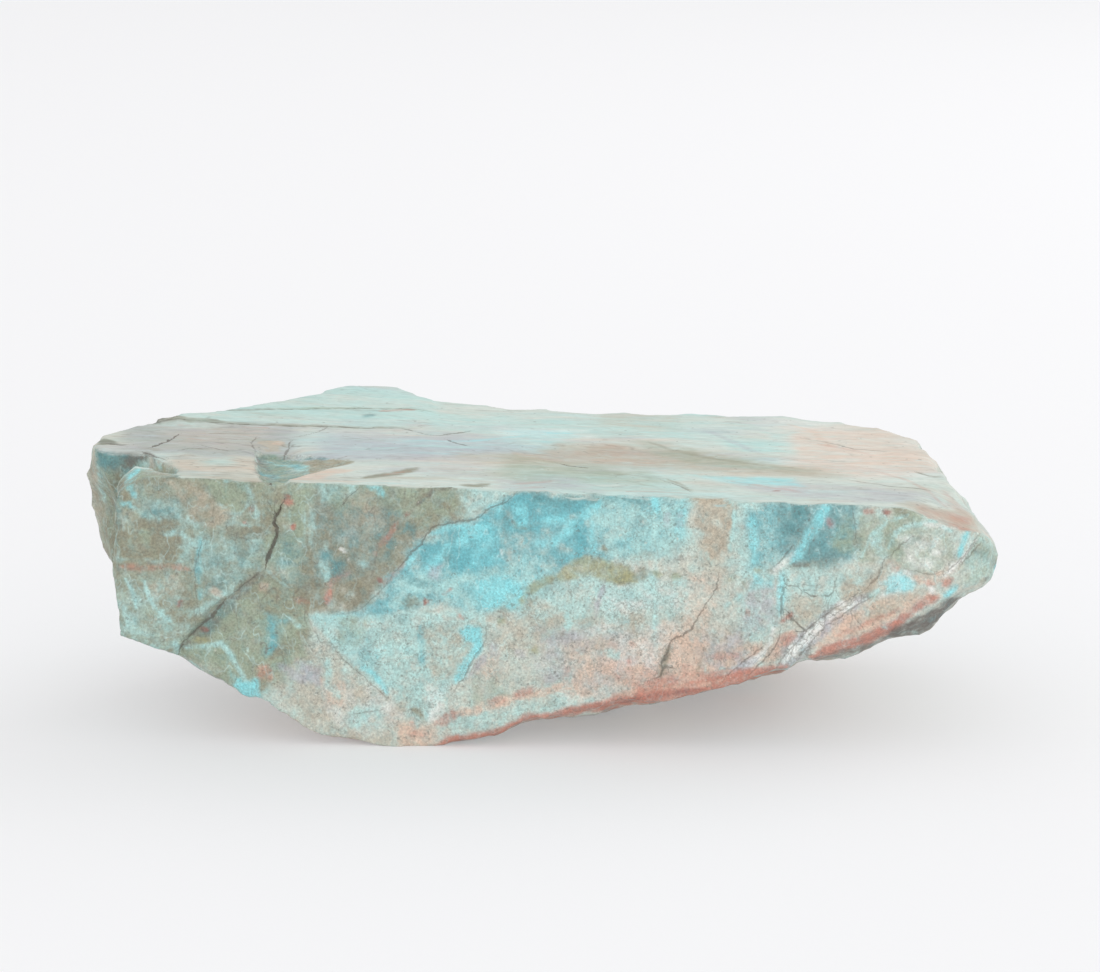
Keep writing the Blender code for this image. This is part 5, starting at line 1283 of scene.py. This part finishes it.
def darkCracks(tree, colour, noises):
    # dark lines: inside where the distance, a little shaken, is less than half the uneven width
    look = stoneLook
    crack = addNode(tree, "ShaderNodeAttribute", {"attribute_name": "crack"}, {}, "Vector")
    away, half, depth = addNode(tree, "ShaderNodeSeparateXYZ", {}, {0: crack}).node.outputs
    shake = addNode(tree, "ShaderNodeMapRange", {"clamp": False}, {
        "Value": noises["shake"], "To Min": -look["crackShake"], "To Max": look["crackShake"]})
    away = addNode(tree, "ShaderNodeMath", {"operation": "ADD"}, {0: away, 1: shake})
    away = addNode(tree, "ShaderNodeMath", {"operation": "ABSOLUTE"}, {0: away})
    uneven = addNode(tree, "ShaderNodeMapRange", {}, {
        "Value": noises["broken"], "From Min": 0.35, "From Max": 0.65, "To Min": 0.5, "To Max": 1.4})
    half = addNode(tree, "ShaderNodeMath", {"operation": "MULTIPLY"}, {0: half, 1: uneven})
    inside = addNode(tree, "ShaderNodeMath", {"operation": "SUBTRACT"}, {0: half, 1: away})
    inside = addNode(tree, "ShaderNodeMapRange", {}, {"Value": inside, "From Min": -0.10, "From Max": 0.10})
    inside = addNode(tree, "ShaderNodeMath", {"operation": "MULTIPLY"}, {0: inside, 1: depth})
    colour = addNode(tree, "ShaderNodeMix", {"data_type": "RGBA"}, {
        0: inside, 6: colour, 7: linearColour(look["crack"])}, 2)
    return colour, inside


def rawTurquoiseMaterial():
    # Rough turquoise in weathered host rock, broken and not polished: a dry, fine-grained surface on
    # which the minerals mingle grain by grain, with only a faint waxy sheen at a low angle.
    look = stoneLook
    material = bpy.data.materials.new("raw_turquoise_rock")
    material.use_nodes = True
    tree = material.node_tree
    shader = tree.nodes["Principled BSDF"]
    metres = addNode(tree, "ShaderNodeTexCoord", {}, {}, "Object")
    place = addNode(tree, "ShaderNodeVectorMath", {"operation": "SCALE"}, {0: metres, "Scale": 1 / mm})
    laid = [addNode(tree, "ShaderNodeAttribute", {"attribute_name": "share_%d" % n}, {}, "Vector")
            for n in range(6)]
    # the last two attributes hold two minerals, the three fine marks and how calm the grain is
    lastTwo = [addNode(tree, "ShaderNodeSeparateXYZ", {}, {0: three}).node.outputs for three in laid[4:]]
    _, _, *marks, calm = itertools.chain(*lastTwo)
    amounts = dict(zip(fineMarks, marks))
    onTop = addNode(tree, "ShaderNodeMath", {"operation": "GREATER_THAN"}, {0: calm, 1: 0.3})
    noises = stoneNoises(tree, place, onTop)
    loud = addNode(tree, "ShaderNodeMath", {"operation": "SUBTRACT"}, {0: 1.0, 1: calm})
    shaken = addNode(tree, "ShaderNodeVectorMath", {"operation": "MULTIPLY_ADD"}, {
        0: noises["warp"], 1: (look["netWarp"],) * 3, 2: place})

    colour = mingledMinerals(tree, laid[:5], noises, calm)
    colour = thinTurquoise(tree, colour, noises, loud)
    colour = hairlines(tree, colour, noises, amounts)
    colour = crushedVein(tree, colour, noises, shaken, amounts["darkLines"])
    colour, speck = hostRockSpecks(tree, colour, shaken, amounts["specks"])
    colour = lightAndDark(tree, colour, noises, loud)
    colour, inCrack = darkCracks(tree, colour, noises)
    height = addNode(tree, "ShaderNodeMath", {"operation": "MULTIPLY_ADD"}, {
        0: inCrack, 1: -look["crackDepth"], 2: noises["bump"]})
    height = addNode(tree, "ShaderNodeMath", {"operation": "MULTIPLY_ADD"}, {
        0: speck, 1: -look["speckDepth"], 2: height})
    bump = addNode(tree, "ShaderNodeBump", {}, {
        "Strength": 1.0, "Distance": look["bumpHeight"] * mm, "Height": height})
    smoothest, roughest = look["roughness"]
    roughness = addNode(tree, "ShaderNodeMapRange", {}, {
        "Value": noises["cloud"], "To Min": smoothest, "To Max": roughest})
    tree.links.new(colour, shader.inputs["Base Color"])
    tree.links.new(roughness, shader.inputs["Roughness"])
    tree.links.new(bump, shader.inputs["Normal"])
    shader.inputs["IOR"].default_value = look["ior"]
    return material


table = {
    "colour": "#d3d3d5",
    "glow": 0.24,
    "halfWidth": 6.0,        # m
    "frostScale": 900.0,     # per m, how fine the frosting is
    "frostHeight": 0.02,     # mm
    "roughness": 0.95,
}


def litOpalSheetMaterial():
    # Matt opal acrylic lit a little from below, as on a photographer's light table: no shine, the same
    # pale tone all over, and light in the shadows.
    material = bpy.data.materials.new("lit_opal_acrylic")
    material.use_nodes = True
    tree = material.node_tree
    shader = tree.nodes["Principled BSDF"]
    place = addNode(tree, "ShaderNodeTexCoord", {}, {}, "Object")
    frost = addNode(tree, "ShaderNodeTexNoise", {}, {
        "Vector": place, "Scale": table["frostScale"], "Detail": 2.0}, "Fac")
    bump = addNode(tree, "ShaderNodeBump", {}, {
        "Strength": 0.1, "Distance": table["frostHeight"] * mm, "Height": frost})
    tree.links.new(bump, shader.inputs["Normal"])
    shader.inputs["Base Color"].default_value = linearColour(table["colour"])
    shader.inputs["Emission Color"].default_value = linearColour("#ffffff")
    shader.inputs["Emission Strength"].default_value = table["glow"]
    shader.inputs["Roughness"].default_value = table["roughness"]
    return material


def layTable():
    # a flat square about the origin, with its corners half its width away along X and Y
    reach = table["halfWidth"]
    mesh = bpy.data.meshes.new("light_table")
    corners = [(-reach, -reach, 0), (reach, -reach, 0), (reach, reach, 0), (-reach, reach, 0)]
    mesh.from_pydata(corners, [], [(0, 1, 2, 3)])
    mesh.materials.append(litOpalSheetMaterial())
    sheet = bpy.data.objects.new("light_table", mesh)
    bpy.context.scene.collection.objects.link(sheet)


# A white tent gives even light from all round; one soft box in front and one behind at the right shape it.
light = {
    "tent": {"colour": "#ffffff", "strength": 0.92},
    "front": {"at": (0.15, -1.6, 0.32), "size": 1.8, "power": 6.5, "colour": "#ffffff"},        # m and W
    "backRight": {"at": (1.3, 0.9, 0.90), "size": 1.2, "power": 6.0, "colour": "#ffffff"},
    "aimAt": (0, 0, 0.03),      # m, where both boxes face
}


def hangLights():
    # each soft box faces the stone: its own -Z lies along the line from its place to the aimed point
    world = bpy.data.worlds.new("white_tent")
    world.use_nodes = True
    background = world.node_tree.nodes["Background"]
    background.inputs["Color"].default_value = linearColour(light["tent"]["colour"])
    background.inputs["Strength"].default_value = light["tent"]["strength"]
    bpy.context.scene.world = world
    for name in ("front", "backRight"):
        lamp = light[name]
        data = bpy.data.lights.new(name, "AREA")
        data.energy, data.size, data.color = lamp["power"], lamp["size"], linearColour(lamp["colour"])[:3]
        box = bpy.data.objects.new(name, data)
        box.location = lamp["at"]
        toStone = Vector(light["aimAt"]) - box.location
        box.rotation_euler = toStone.to_track_quat("-Z", "Y").to_euler()
        bpy.context.scene.collection.objects.link(box)


def setCamera():
    # at the photo's place, level from side to side and tipped down by its elevation
    data = bpy.data.cameras.new("photo_view")
    data.lens, data.sensor_width = photoView["lens"], photoView["sensor"]
    camera = bpy.data.objects.new("photo_view", data)
    camera.location = (cameraPlace() + slabShift) * mm
    camera.rotation_euler = (math.pi / 2 - math.radians(photoView["elevation"]), 0, 0)
    bpy.context.scene.collection.objects.link(camera)
    bpy.context.scene.camera = camera
    bpy.context.scene.view_settings.view_transform = "Standard"


stonePiece = evenShell()
smoothFacets(stonePiece)
frontShare, topShare = carveSlab(stonePiece)
thinHiddenSides(stonePiece, frontShare, topShare)
paintMinerals(stonePiece)
stonePiece.data.materials.append(rawTurquoiseMaterial())
stonePiece.data.shade_smooth()
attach(stonePiece, "root")
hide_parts("turquoise_stone")
layTable()
hangLights()
setCamera()
print("table, lights and camera are in place")
